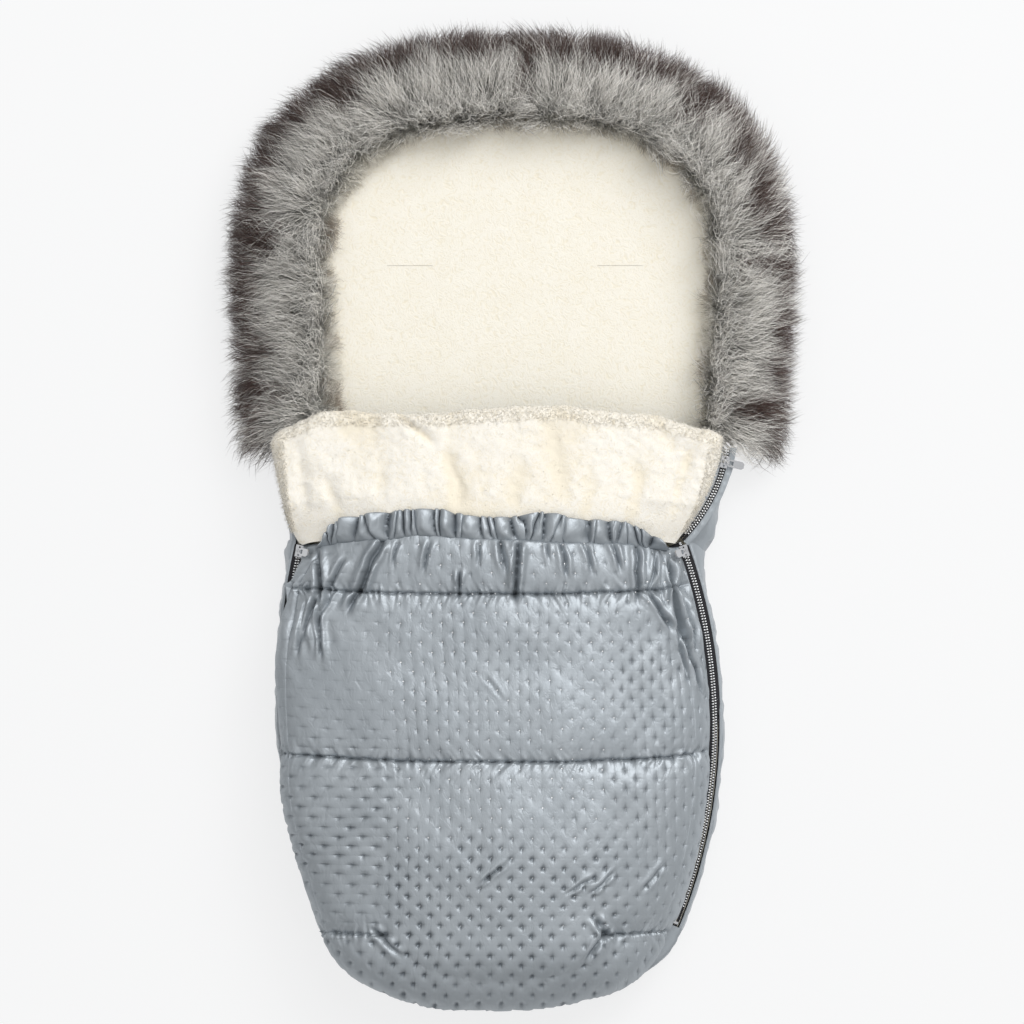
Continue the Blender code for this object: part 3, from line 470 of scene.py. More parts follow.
def fleece(name, scale, low, high):
    made, tree, shader = finish_of(name, 0.95, specular=0.1, sheen=0.35)
    shader.inputs["Sheen Roughness"].default_value = 0.6
    wool = use(tree, CURLS, {"Place": object_place(tree), "Scale": scale})
    # Painted shade: the wool is painted darker where a piece stores its folds.
    shade = figure(tree, "MULTIPLY_ADD", stored(tree, "painted_shade"), -1.1, wool["Shade"])
    tree.links.new(tint(tree, shade, low, high), shader.inputs["Base Color"])
    tree.links.new(bump(tree, wool["Height"], 0.20, 0.0022), shader.inputs["Normal"])
    return made


lining_wool = fleece("lining_wool", 130.0, FLEECE_LOW, FLEECE_HIGH)
cuff_wool = fleece("cuff_wool", 170.0, CUFF_LOW, CUFF_HIGH)

# %% [markdown]
# ## Tapes, metal and paper
# The zips have black woven tapes, moulded silver teeth and chromed sliders. The paper floor is white for the
# camera and still takes the footmuff's shadow.

# %% Tapes, metal and paper
SILVER, CHROME = (0.90, 0.91, 0.92), (0.60, 0.61, 0.63)
TAPE_LOW, TAPE_HIGH = (0.008, 0.008, 0.010), (0.028, 0.028, 0.033)
PAPER, LIT_PAPER, LIT_SHARE = (0.93, 0.935, 0.94, 1), (0.945, 0.947, 0.95, 1), 0.80


def metal(name, colour, roughness):
    """A metal that is duller and darker in slow patches."""
    made, tree, shader = finish_of(name, roughness, metallic=1.0)
    shade = use(tree, GRAIN, {"Place": object_place(tree), "Scale": 900.0})["Shade"]
    worn = put(tree, "ShaderNodeMapRange", {0: shade, 3: roughness * 0.7, 4: roughness * 1.5})
    tree.links.new(worn.outputs[0], shader.inputs["Roughness"])
    dull = tuple(0.85 * part for part in colour)
    tree.links.new(tint(tree, shade, dull, colour), shader.inputs["Base Color"])
    return made


silver_teeth = metal("silver_teeth", SILVER, 0.34)
bright_chrome = metal("bright_chrome", CHROME, 0.16)
black_tape, tape_nodes, tape_shader = finish_of("black_tape", 0.75, specular=0.3, sheen=0.2)
tape_place = object_place(tape_nodes)
tape_weave = put(tape_nodes, "ShaderNodeTexWave", {
    "Vector": tape_place, "Scale": 260.0, "Distortion": 1.5, "Detail": 1.0})
tape_grain = use(tape_nodes, GRAIN, {"Place": tape_place, "Scale": 700.0})
tape_colour = tint(tape_nodes, tape_grain["Shade"], TAPE_LOW, TAPE_HIGH)
tape_nodes.links.new(tape_colour, tape_shader.inputs["Base Color"])
tape_nodes.links.new(bump(tape_nodes, tape_weave.outputs[1], 0.4, 0.0004), tape_shader.inputs["Normal"])

paper, paper_nodes, paper_shader = finish_of("paper", 1.0, specular=0.0)
paper_shader.inputs["Base Color"].default_value = PAPER
rays = put(paper_nodes, "ShaderNodeLightPath").outputs
mirrored = figure(paper_nodes, "MAXIMUM", rays["Is Glossy Ray"], rays["Is Transmission Ray"])
seen = figure(paper_nodes, "MAXIMUM", rays["Is Camera Ray"], mirrored)
lit = put(paper_nodes, "ShaderNodeEmission", {"Color": LIT_PAPER, "Strength": 1.0}).outputs[0]
both = put(paper_nodes, "ShaderNodeMixShader", {
    0: figure(paper_nodes, "MULTIPLY", seen, LIT_SHARE), 1: paper_shader.outputs[0], 2: lit}).outputs[0]
paper_nodes.links.new(both, paper_nodes.nodes["Material Output"].inputs["Surface"])
FLOOR_HALF = 6.0
FLOOR_DROP = 0.0006
corners = np.array([[-1, -1, 0], [1, -1, 0], [1, 1, 0], [-1, 1, 0]]) * FLOOR_HALF
floor_mesh = bpy.data.meshes.new("floor")
floor_mesh.from_pydata((corners - (0, 0, FLOOR_DROP)).tolist(), [], [(0, 1, 2, 3)])
floor_mesh.materials.append(paper)
floor = show("floor", floor_mesh)

# %% [markdown]
# ## Plan of the zips and the back
# Both side zips run along round arcs at one height, so that a slider can travel on them, and the neck has
# arcs of its own. The back's outline follows them, rounds the toe, and widens under the fur at the head.

# %% Plan of the zips and the back
LEFT, RIGHT = -1, 1
ZIP_HEIGHT = 0.050
SIDE_ARCS = {LEFT: (-0.2255, -0.175, 0.66), RIGHT: (0.2045, -0.210, 0.52)}
NECK_RADIUS = {LEFT: 0.60, RIGHT: 0.163}
NECK_WIDEST_Y = {LEFT: 0.125, RIGHT: 0.091}
WAIST_Y = -0.025
TOE_SEAM_Y = -0.414
TOE_END_Y = -0.4845
TOE_ROUNDNESS = 2.3


def arc_x(side, arc, y, offset=0.0):
    widest_x, widest_y, radius = arc
    return widest_x - side * radius + side * np.sqrt((radius + offset) ** 2 - (y - widest_y) ** 2)


def neck_arc(side):
    radius, widest_y = NECK_RADIUS[side], NECK_WIDEST_Y[side]
    waist_x = arc_x(side, SIDE_ARCS[side], WAIST_Y)
    return waist_x + side * (radius - math.sqrt(radius**2 - (widest_y - WAIST_Y) ** 2)), widest_y, radius


NECK_ARCS = {side: neck_arc(side) for side in (LEFT, RIGHT)}


def zip_x(side, y):
    y = np.asarray(y, float)
    low = arc_x(side, SIDE_ARCS[side], np.minimum(y, WAIST_Y))
    high = arc_x(side, NECK_ARCS[side], np.maximum(y, WAIST_Y))
    return np.where(y <= WAIST_Y, low, high)


FUR_END_Y = 0.0745
FUR_CENTRE_Y = 0.245
FUR_LEG_SHARE = 0.2
FUR_INNER = (0.010, 0.193, 0.185, 0.150, 2.6)
FUR_OUTER = (0.0, 0.290, 0.281, 0.247, 2.4)
HEAD_EDGE_SHARE = 0.52


def horseshoe(line, t):
    """Places on a fur line, from its left end at t = 0 over the head to its right end at t = 1."""
    axis_x, half, leg_half, rise, roundness = line
    from_end = np.minimum(t, 1 - t)
    side = np.where(t < 0.5, LEFT, RIGHT)
    share = np.clip(from_end / FUR_LEG_SHARE, 0, 1)
    leg = np.stack([axis_x + side * lerp(leg_half, half, share), lerp(FUR_END_Y, FUR_CENTRE_Y, share)], -1)
    over_head = (np.clip(t, FUR_LEG_SHARE, 1 - FUR_LEG_SHARE) - FUR_LEG_SHARE) / (1 - 2 * FUR_LEG_SHARE)
    angle = math.pi * (1 - over_head)
    arch = np.stack([
        axis_x + half * signed_power(np.cos(angle), 2 / roundness),
        FUR_CENTRE_Y + rise * np.maximum(np.sin(angle), 0) ** (2 / roundness),
    ], -1)
    return np.where((from_end < FUR_LEG_SHARE)[..., None], leg, arch)


def across_fur(t, share):
    return lerp(horseshoe(FUR_INNER, t), horseshoe(FUR_OUTER, t), np.asarray(share)[..., None])


def outline(step):
    """Left and right edge places of the back, row by row from the foot end to the middle of the head."""
    angle = np.linspace(math.pi / 2, 0, 60)
    y = TOE_SEAM_Y - (TOE_SEAM_Y - TOE_END_Y) * np.sin(angle) ** (2 / TOE_ROUNDNESS)
    reach = np.maximum(np.cos(angle), 0) ** (2 / TOE_ROUNDNESS)
    reach[0] = 0
    sides = {}
    for side in (LEFT, RIGHT):
        middle, half = (zip_x(LEFT, y) + zip_x(RIGHT, y)) / 2, (zip_x(RIGHT, y) - zip_x(LEFT, y)) / 2
        toe = np.stack([middle + side * reach * half, y], -1)
        widest_y = NECK_WIDEST_Y[side]
        y_side = np.linspace(TOE_SEAM_Y, widest_y, 200)[1:]
        run = np.stack([zip_x(side, y_side), y_side], -1)
        y_shoulder = np.linspace(widest_y, FUR_CENTRE_Y, 60)[1:]
        from_end = FUR_LEG_SHARE * (y_shoulder - FUR_END_Y) / (FUR_CENTRE_Y - FUR_END_Y)
        head_x = across_fur(from_end if side == LEFT else 1 - from_end, HEAD_EDGE_SHARE + 0 * from_end)[:, 0]
        ease = smooth((y_shoulder - widest_y) / (FUR_CENTRE_Y - widest_y))
        shoulder = np.stack([lerp(zip_x(side, widest_y), head_x, ease), y_shoulder], -1)
        t = np.linspace(FUR_LEG_SHARE, 0.5, 80)[1:]
        head = across_fur(t if side == LEFT else 1 - t, HEAD_EDGE_SHARE + 0 * t)
        sides[side] = np.concatenate([toe, run, shoulder, head])
    length = sum(np.linalg.norm(np.diff(sides[side], axis=0), axis=1) for side in sides) / 2
    place = np.concatenate([[0], np.cumsum(length)])
    wanted = np.linspace(0, place[-1], int(place[-1] / step))
    even = {}
    for side, line in sides.items():
        even[side] = np.stack([np.interp(wanted, place, line[:, k]) for k in (0, 1)], -1)
    return even


ROW_STEP = 0.003
edges = outline(ROW_STEP)
print("outline rows:", len(edges[LEFT]))


def outward_of(points, side):
    along = unit(np.gradient(points, axis=0))
    return np.stack([along[:, 1], -along[:, 0]], -1) * side


SPINE_LOW_Y, SPINE_HIGH_Y = -0.40, 0.30
WALL_END_Y, WALL_FADE = 0.056, 0.012
ON_FLOOR = -0.009
SLUMP_DEPTH = 0.014
HILL_SIZE, SLOW_HILL_SIZE = 0.011, 0.030


def tray(name, profile, finish, hills=0.0, folds=0.0):
    """A closed layer of the back. The profile runs from the spine over the top, out, round the edge and back
    underneath to the spine: rows of (share towards the spine, outward offset, height, wall height)."""
    share, offset, height, wall_height = (np.array(column)[None, :] for column in zip(*profile))
    on_wall = offset > ON_FLOOR
    halves = []
    for side in (LEFT, RIGHT):
        points = edges[side]
        y = points[:, 1]
        has_wall = (1 - smooth((y - WALL_END_Y) / WALL_FADE))[:, None]
        slump = smooth((y - WAIST_Y + 0.045) / 0.045) * (1 - smooth((y - WAIST_Y) / 0.050))
        sag = (slump if side == RIGHT else 0 * y)[:, None] * has_wall * SLUMP_DEPTH
        run = np.arange(len(y))[:, None] * ROW_STEP
        fold = cloud(run, wall_height * 0.35, 0.017, 7)
        fold = fold + 0.7 * cloud(run + 0.6 * wall_height, wall_height * 0.4, 0.0085, 8)
        fold = folds * (fold + 0.8) * has_wall * (1 + 1.2 * slump[:, None])
        bulge = np.sin(math.pi * np.clip(wall_height / ZIP_HEIGHT, 0, 1)) * (sag + fold) * on_wall
        out = outward_of(points, side)
        out[0] = (0, -1)
        out[-1] = (0, 1)
        middle = (edges[LEFT][:, 0] + edges[RIGHT][:, 0]) / 2
        spine = np.stack([middle, np.clip(y, SPINE_LOW_Y, SPINE_HIGH_Y)], -1)
        reach = np.where(on_wall, lerp(np.minimum(offset, -0.004), offset, has_wall) + bulge, offset)
        place = points[:, None] + out[:, None] * reach[..., None]
        place = lerp(place, spine[:, None], share[..., None])
        halves.append(np.concatenate([place, lerp(height, wall_height, has_wall)[..., None]], -1))
    left, right = halves
    grid = np.concatenate([left, right[:, ::-1][:, 1:-1]], 1)
    if hills:
        normal = grid_normals(grid)
        across = grid[..., 0] + grid[..., 2]
        lumps = cloud(across, grid[..., 1], HILL_SIZE, 5) * 0.7
        lumps = lumps + cloud(across, grid[..., 1], SLOW_HILL_SIZE, 6)
        up = np.where(normal[..., 2:] > 0, 1, 0.15)
        grid = grid + normal * np.sign(normal[..., 2:] + 1e-9) * (hills * lumps[..., None] * up)
    rows, columns = grid.shape[:2]
    return mesh_piece(name, grid.reshape(-1, 3), grid_faces(rows, columns, ring=True), finish, merge=True)


# %% [markdown]
# ## Back: outer cloth and fleece lining
# The back is a shallow tray of satin with a padded floor and soft walls that carry the zips. It is made in
# rows from the toe to the head; each row starts at the middle line, runs out over the fleece, up the wall,
# over its top and back underneath, so the whole layer is one closed skin.

# %% Back: outer cloth and fleece lining
RIM_TOP = 0.0493
CLOTH = 0.003
LINING_LOW, LINING_HIGH, LINING_TOP = 0.0151, 0.0236, 0.0455


def floor_run(height, count, start):
    """Profile rows across the flat floor from the spine out to the corner."""
    return [(1 - k / count, start, height, height) for k in range(count)]


shell_profile = floor_run(CLOTH, 10, -0.014)
shell_profile += [
    (0, -0.012, CLOTH, CLOTH), (0, -0.004, CLOTH, 0.005), (0, 0.002, CLOTH, 0.008), (0, 0.0048, CLOTH, 0.014),
    *((0, 0.0050, CLOTH, wall_height) for wall_height in (0.024, 0.036, 0.044, RIM_TOP)),
    (0, 0.0065, 0.0026, RIM_TOP + 0.0004), (0, 0.0080, 0.0022, RIM_TOP), (0, 0.0084, 0.0020, 0.044),
    (0, 0.0086, 0.0018, 0.036), (0, 0.0086, 0.0015, 0.024), (0, 0.0080, 0.0012, 0.014),
    (0, 0.0050, 0.0006, 0.006), (0, 0.0, 0.0002, 0.002), (0, -0.006, 0.0, 0.0),
]
shell_profile += floor_run(0.0, 10, -0.012)[::-1]
back_cloth = tray("back_cloth", shell_profile, plain_satin, folds=0.0022)
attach(back_cloth, "back")
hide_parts("back_shell", "back_padding")

lining_profile = floor_run(LINING_HIGH, 40, -0.014)
lining_profile += [
    (0, -0.012, LINING_HIGH, 0.0245), (0, -0.0075, 0.0230, 0.0275), (0, -0.0042, 0.0225, 0.033),
    (0, -0.0038, 0.0220, 0.039), (0, -0.0032, 0.0215, 0.0442), (0, 0.0004, 0.021, LINING_TOP),
    (0, 0.0036, 0.020, 0.0445), (0, 0.0046, 0.019, 0.040), (0, 0.0046, 0.018, 0.030),
    (0, 0.0044, 0.017, 0.020), (0, 0.0, 0.0155, 0.0155), (0, -0.008, LINING_LOW, LINING_LOW),
]
lining_profile += floor_run(LINING_LOW, 8, -0.014)[::-1]
lining = tray("lining_fleece", lining_profile, lining_wool, hills=0.0006)
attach(lining, "back")
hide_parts("back_lining")
SLITS = [
    (-0.101, 0.251, 1, 0), (0.111, 0.251, 1, 0), (-0.125, -0.070, 0, 1), (0.125, -0.070, 0, 1),
    (0.005, -0.135, 1, 0),
]
SLIT_LENGTH, SLIT_WIDTH, CUT_HEIGHT = 0.046, 0.0025, 0.08
FLEECE_LIPS = 0.12
work = bmesh.new()
for x, y, *shares in SLITS:
    cube = bmesh.ops.create_cube(work, size=1)["verts"]
    size = [lerp(SLIT_WIDTH, SLIT_LENGTH, share) for share in shares]
    bmesh.ops.scale(work, verts=cube, vec=(*size, CUT_HEIGHT))
    bmesh.ops.translate(work, verts=cube, vec=(x, y, 0.0))
cutter_mesh = bpy.data.meshes.new("slit_cutter")
work.to_mesh(cutter_mesh)
work.free()
cutter = show("slit_cutter", cutter_mesh)
for layer, closed in ((back_cloth, 1.0), (lining, FLEECE_LIPS)):
    place = np.array([vertex.co for vertex in cutter_mesh.vertices])
    middle = np.repeat([(x, y, 0.0) for x, y, _, _ in SLITS], 8, 0)
    lips = np.repeat([(upright_share, level_share, 0) for _, _, level_share, upright_share in SLITS], 8, 0)
    place = middle + (place - middle) * np.where(lips == 1, closed, 1.0)
    cutter_mesh.vertices.foreach_set("co", place.astype(np.float32).ravel())
    cutter_mesh.update()
    cut = layer.modifiers.new("slits", "BOOLEAN")
    cut.operation = "DIFFERENCE"
    cut.solver = "EXACT"
    cut.object = cutter
    bpy.context.view_layer.update()
    opened = bpy.data.meshes.new_from_object(layer.evaluated_get(bpy.context.evaluated_depsgraph_get()))
    layer.modifiers.clear()
    layer.data = opened
    opened.set_sharp_from_angle(angle=math.radians(60))
bpy.data.objects.remove(cutter)
print("back:", len(back_cloth.data.polygons), "faces, lining:", len(lining.data.polygons), "faces")

# %% [markdown]
# ## Cover
# The cover is an arch of wadded satin over the legs. Cross seams pull it down in two soft valleys, a gusset
# runs down each side, darts shape the toe, and elastic gathers its top edge. Its left side and its toe bulge
# over their zip and seam. All of it is one height field over the arch, worked out point by point, so each
# fold can be set where the photograph shows it.

# %% Cover: the plain arch
MOUTH_Y = -0.0265
MOUTH_CROWN = 0.046
FOOT_CROWN = 0.070
FOOT_CROWN_Y = -0.360
ARCH_ROUNDNESS = 2.1
ZIP_CLEAR = 0.005
COVER_BASE = 0.0507
QUILT = 0.012
UPPER_SEAM_Y, LOWER_SEAM_Y, SEAM_DIP = -0.068, -0.233, 0.010
GUSSET_ANGLE = math.radians(24)


def crown(y):
    return lerp(MOUTH_CROWN, FOOT_CROWN, smooth((MOUTH_Y - y) / (MOUTH_Y - FOOT_CROWN_Y)))


def cover_points(theta, s, inset):
    """Places in the cover: theta runs over the arch from the right edge, s from the mouth (0) past the toe
    seam (1)."""
    theta, s = np.broadcast_arrays(theta, s)
    angle = np.clip(s - 1, 0, 1) * math.pi / 2
    depth = TOE_SEAM_Y - TOE_END_Y - ZIP_CLEAR - inset
    toe_y = TOE_SEAM_Y - depth * np.sin(angle) ** (2 / TOE_ROUNDNESS)
    y = np.where(s <= 1, lerp(MOUTH_Y, TOE_SEAM_Y, s), toe_y)
    reach = np.where(s <= 1, 1.0, np.maximum(np.cos(angle), 0) ** (2 / TOE_ROUNDNESS))
    left = zip_x(LEFT, y) + ZIP_CLEAR + inset
    right = zip_x(RIGHT, y) - ZIP_CLEAR - inset
    half = reach * (right - left) / 2
    rise = reach * (crown(y) - inset)
    return np.stack([
        (left + right) / 2 + half * signed_power(np.cos(theta), 2 / ARCH_ROUNDNESS),
        y,
        COVER_BASE + rise * np.maximum(np.sin(theta), 0) ** (2 / ARCH_ROUNDNESS),
    ], -1)


UNDERCUT = -0.35


def bulged(points):
    """The same places with the left side and the toe pushed out over the zip and the toe seam."""
    y, z = points[..., 1], points[..., 2]
    normal = upward_normals(points, UNDERCUT)
    band = np.sin(math.pi * np.clip((z - COVER_BASE) / 0.056, 0, 1)) ** 0.7
    left = 0.0185 * smooth((-0.034 - y) / 0.042)
    right = lerp(-0.0040, 0.0015, smooth((-0.13 - y) / 0.12))
    toe = 0.0150 * smooth((-0.40 - y) / 0.05)
    share_left, share_right, share_toe = (np.maximum(part, 0) ** 2 for part in (
        -normal[..., 0], normal[..., 0], -normal[..., 1]))
    whole = np.maximum(share_left + share_right + share_toe, 1e-6)
    push = band * (left * share_left + right * share_right + toe * share_toe) / whole
    level = unit(normal * (1, 1, 0) + 1e-9)
    steep = np.hypot(normal[..., 0], normal[..., 1])
    return points + level * (push * smooth(steep / 0.6))[..., None]


def arc_length(theta, s):
    """How far round the arch each place is from its top."""
    full = np.linspace(0, math.pi, 181)
    lengths = np.empty(np.broadcast(theta, s).shape)
    for row in range(lengths.shape[0]):
        line = cover_points(full, s[row, :1], 0.0)
        run = np.concatenate([[0], np.cumsum(np.linalg.norm(np.diff(line, axis=0), axis=1))])
        lengths[row] = np.interp(theta[row], full, run) - run[90]
    return -lengths


# %% Cover: pins and creases
def crease_kind(x, y):
    """At each place: the pits of the mesh (how sharp across and along, how deep), the marks of the finish,
    which bump the cloth and darken it with painted shade, and the painted glint of the pins."""
    wander = 0.02 * cloud(x, y, 0.045, 51)
    left = smooth((-0.100 - x + wander) / 0.035)
    right = smooth((x - 0.085 + wander) / 0.030) * smooth((-0.095 - y) / 0.035)
    low = smooth((-0.290 - y + wander) / 0.050) * (1 - 0.85 * left)
    toe = smooth((TOE_SEAM_Y + 0.012 - y) / 0.02)
    foot = np.maximum(low, toe)
    low_left = left * np.exp(-(((y + 0.315) / 0.070) ** 2))
    low_right = right * smooth((-0.10 - y) / 0.05)
    patchy = 0.85 + 0.35 * cloud(x, y, 0.022, 52)

    def by_zone(middle, *others):
        """A value of the middle, and of the left, the foot and both lower sides."""
        return layered(middle, *zip((left, foot, low_left, low_right), others)) * patchy

    across = layered(5.0, (left, 1.5), (right, 3.4), (foot, 3.0), (low_left, 0.8))
    along = layered(1.1, (left, 5.0), (right, 0.75), (foot, 2.6))
    depth = by_zone(0.45, 0.28, 1.15, 1.70, 0.75)
    level_mark = by_zone(0.10, 0.26, 0.30, 1.00, 0.25)
    upright_mark = by_zone(0.34, 0.06, 0.42, 0.15, 0.80)
    pit_mark = by_zone(0.42, 0.12, 1.20, 0.60, 0.32)
    centre = (1 - left) * (1 - right) * (1 - 0.6 * low) * (1 - toe)
    marks = np.stack([level_mark, upright_mark, pit_mark], -1)
    return across, along, depth, marks, centre * smooth(0.75 + cloud(x, y, 0.013, 57))


def pits(a, y, across, along):
    """The depth share of the pits at the welded pins, 1 at each pin."""
    column, row = np.cos(2 * math.pi * a / PIN_GAP), np.cos(math.pi * y / ROW_GAP)
    even = np.exp(across * (column - 1) + along * (row - 1))
    odd = np.exp(across * (-column - 1) + along * (-row - 1))
    return np.maximum(even, odd)


# %% Cover: folds
FOLDS = [
    (383, 541, 352, 606, 0.0062, 0.0050), (374, 566, 362, 592, 0.0042, 0.0040),
    (517, 543, 515, 594, 0.0062, 0.0046), (500, 540, 505, 568, 0.0040, 0.0036),
    (459, 572, 460, 592, 0.0042, 0.0034), (634, 546, 636, 596, 0.0044, 0.0042),
    (318, 548, 322, 592, 0.0058, 0.0042), (320, 588, 306, 636, 0.0056, 0.0048),
    (669, 560, 672, 596, 0.0060, 0.0042), (671, 592, 679, 640, 0.0054, 0.0046),
    (612, 543, 618, 566, 0.0034, 0.0034), (430, 543, 426, 568, 0.0030, 0.0034),
    (560, 543, 566, 574, 0.0030, 0.0036), (345, 560, 328, 594, 0.0032, 0.0040),
    (655, 554, 650, 582, 0.0034, 0.0036), (648, 594, 668, 626, 0.0042, 0.0040),
    (332, 592, 322, 620, 0.0030, 0.0034), (377, 923, 400, 946, 0.0034, 0.0042),
    (606, 922, 586, 948, 0.0042, 0.0044), (594, 912, 604, 932, 0.0046, 0.0044),
    (480, 543, 478, 560, 0.0026, 0.0032), (398, 543, 396, 562, 0.0026, 0.0030),
    (545, 543, 548, 556, 0.0024, 0.0030), (585, 545, 590, 570, 0.0026, 0.0034),
    (308, 600, 300, 650, 0.0030, 0.0036), (316, 600, 318, 648, 0.0028, 0.0036),
    (684, 600, 694, 646, 0.0032, 0.0036), (668, 582, 682, 634, 0.0044, 0.0032),
    (681, 632, 700, 690, 0.0042, 0.0034), (676, 640, 684, 672, 0.0030, 0.0026),
    (321, 592, 323, 652, 0.0046, 0.0034), (488, 676, 500, 694, 0.0014, 0.0026),
    (566, 886, 590, 872, 0.0022, 0.0030), (588, 886, 610, 868, 0.0022, 0.0030),
    (482, 876, 505, 858, 0.0024, 0.0028), (640, 884, 660, 862, 0.0016, 0.0030),
]


def fold_relief(x, y):
    """Single folds, each a line from one pixel of the photograph to another with a depth and a width."""
    total = np.zeros_like(x)
    wander = 0.0016 * cloud(x, y, 0.014, 31)
    for *line, depth, width in FOLDS:
        along, off, length = beside_line(x, y, *line)
        off = off + wander
        fade = smooth((along + 0.006) / 0.012) * smooth((length + 0.010 - along) / 0.018)
        valley = np.exp(-((off / width * 1.75) ** 2))
        ridge = sum(np.exp(-(((off + away * width) / width * 1.2) ** 2)) for away in (-1.15, 1.15))
        total += 1.45 * fade * depth * (0.55 * ridge - 0.75 * valley)
    return total


MOUTH_LINE = [
    (290, 547), (322, 543), (351, 537), (384, 538), (414, 531), (461, 536), (520, 538), (553, 541),
    (600, 541), (640, 543), (690, 549),
]


def mouth_y(x):
    """The stitched edge below the frill, which the elastic pulls into a soft wave."""
    place, level = zip(*MOUTH_LINE)
    fine = np.linspace(-0.22, 0.19, 60)
    line = metres(0, np.interp(pixel_column(fine), place, level))[1]
    line = np.convolve(np.pad(line, 2, mode="edge"), np.ones(5) / 5, mode="valid")
    return np.interp(x, fine, line)


PILLOW_HEIGHT, PILLOW_EDGE = 0.0050, 0.012
SEAM_DEPTH, SEAM_WIDTH = 0.0026, 0.0015
PUCKER_HEIGHT, PUCKER_REACH = 0.0030, 0.0060
GATHER_HEIGHT, GATHER_REACH = 0.0022, 0.010


def from_seam(seam_y, y, a, theta):
    """How far up the cover each place is from a cross seam, which wanders a little between its puckers."""
    return y - seam_y + SEAM_DIP * np.sin(theta) + 0.0008 * cloud(a, 0 * a, 0.0042, 58)


def cover_relief(x, y, a, theta):
    """Height of the cover's face over the plain arch, without its pins."""
    edge = mouth_y(x)
    upper, lower = from_seam(UPPER_SEAM_Y, y, a, theta), from_seam(LOWER_SEAM_Y, y, a, theta)
    toe = y - TOE_SEAM_Y
    dart = smooth((-0.112 - x) / 0.014) + smooth((x - 0.080) / 0.014)
    gusset = np.minimum(np.abs(theta - GUSSET_ANGLE), np.abs(theta - (math.pi - GUSSET_ANGLE))) * 0.10
    gusset_depth = lerp(0.10, 1.0, smooth((y + 0.15) / 0.05))
    pillow = 1.0
    valley = 0.0
    for away, weight in ((upper, 1), (lower, 1), (toe, dart), (gusset, 0.8 * gusset_depth), (y - edge, 1.0)):
        pillow = pillow * (1 - weight * np.exp(-((np.abs(away) / PILLOW_EDGE) ** 1.1)))
        valley = valley + weight * np.exp(-((away / SEAM_WIDTH) ** 2))
    face = PILLOW_HEIGHT * pillow - SEAM_DEPTH * valley
    for away, seed, weight in ((upper, 41, 1.1), (lower, 42, 1.0), (toe, 43, dart)):
        slant = a + np.abs(away) * 0.9 * cloud(a, 0 * a, 0.03, seed + 9)
        pucker = cloud(slant, away * 0.15, 0.0028, seed) + 0.6 * cloud(slant, away * 0.15, 0.0070, seed + 1)
        face = face + weight * PUCKER_HEIGHT * pucker * np.exp(-np.abs(away) / PUCKER_REACH)
    gather = np.exp(-np.abs(y - edge) / GATHER_REACH)
    face = face + GATHER_HEIGHT * gather * cloud(a, y * 0.16, 0.0090, 45)
    flank = smooth((np.abs(x + 0.01) - 0.145) / 0.03) * smooth((y + 0.19) / 0.06)
    face = face + 0.0013 * flank * cloud(a * 0.9 + y * 0.3, y * 0.35, 0.0085, 49)
    face = face + 0.0026 * cloud(a, y, 0.070, 47) + 0.0012 * cloud(a, y, 0.030, 48)
    face = face + 0.0003 * cloud(a, y * 0.6, 0.0065, 50)
    return face + fold_relief(x, y)


# %% Cover: the pieces
PULL_PLACES = [(-0.199, -0.036), (0.163, -0.036)]
PULL_CLEAR_X, PULL_CLEAR_Y = 0.016, 0.011
PIN_DEPTH = 0.0016
FOOT_STATION = 1.9999


def clear_of_pulls(x, y):
    """0 beside the sliders, whose pulls lie on the cover, and 1 away from them."""
    near = 0
    for place_x, place_y in PULL_PLACES:
        near = near + np.exp(-(((x - place_x) / PULL_CLEAR_X) ** 2) - ((y - place_y) / PULL_CLEAR_Y) ** 2)
    return 1 - np.minimum(near, 1)


def cover_piece(name, s_start, s_end, theta_start, theta_end, across, along):
    """One panel of the cover between two stations and two angles, in so many columns and rows."""
    u = np.linspace(0, 1, across + 1)
    v = np.linspace(0, 1, along + 1)
    v = v - 0.09 * np.sin(2 * math.pi * v)
    theta = np.broadcast_to(lerp(theta_end, theta_start, u)[None, :], (along + 1, across + 1))
    s = lerp(s_start(theta), s_end(theta), v[:, None])
    base = bulged(cover_points(theta, s, 0.0))
    normal = upward_normals(base, UNDERCUT)
    x, y = base[..., 0], base[..., 1]
    a = arc_length(theta, s)
    drift_a = a + 0.0011 * cloud(a, y, 0.011, 53) + 0.0020 * cloud(a, y, 0.045, 54)
    drift_y = y + 0.0007 * cloud(a, y, 0.011, 55) + 0.0016 * cloud(a, y, 0.050, 56)
    sharp_across, sharp_along, depth, marks, glint = crease_kind(x, y)
    relief = cover_relief(x, y, a, theta)
    relief = relief - PIN_DEPTH * depth * pits(drift_a, drift_y, sharp_across, sharp_along)
    relief = relief * smooth(np.sin(theta) / 0.08) * clear_of_pulls(x, y)
    face = base + normal * relief[..., None]
    back = cover_points(theta, s, QUILT)
    piece = shell(name, face, back, cover_satin, np.stack([drift_a, drift_y, glint / GLINT_SCALE], -1))
    # Painted shade: the cover is painted darker in its folds, along the stitched edge under the frill and
    # along the cross seams.
    cover_painted_shade = np.clip(-fold_relief(x, y) / 0.0050, 0, 0.55)
    cover_painted_shade = cover_painted_shade + 0.75 * np.exp(-(((y - mouth_y(x)) / 0.0013) ** 2))
    for seam_y in (UPPER_SEAM_Y, LOWER_SEAM_Y):
        cover_painted_shade = cover_painted_shade + 0.50 * np.exp(-((from_seam(seam_y, y, a, theta) / 0.0009) ** 2))
    write_attribute(piece.data, "painted_shade", np.tile(np.clip(cover_painted_shade, 0, 0.9).ravel(), 2))
    write_attribute(piece.data, "crease", np.tile(marks.reshape(-1, 3), (2, 1)))
    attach(piece, "apron")
    return piece


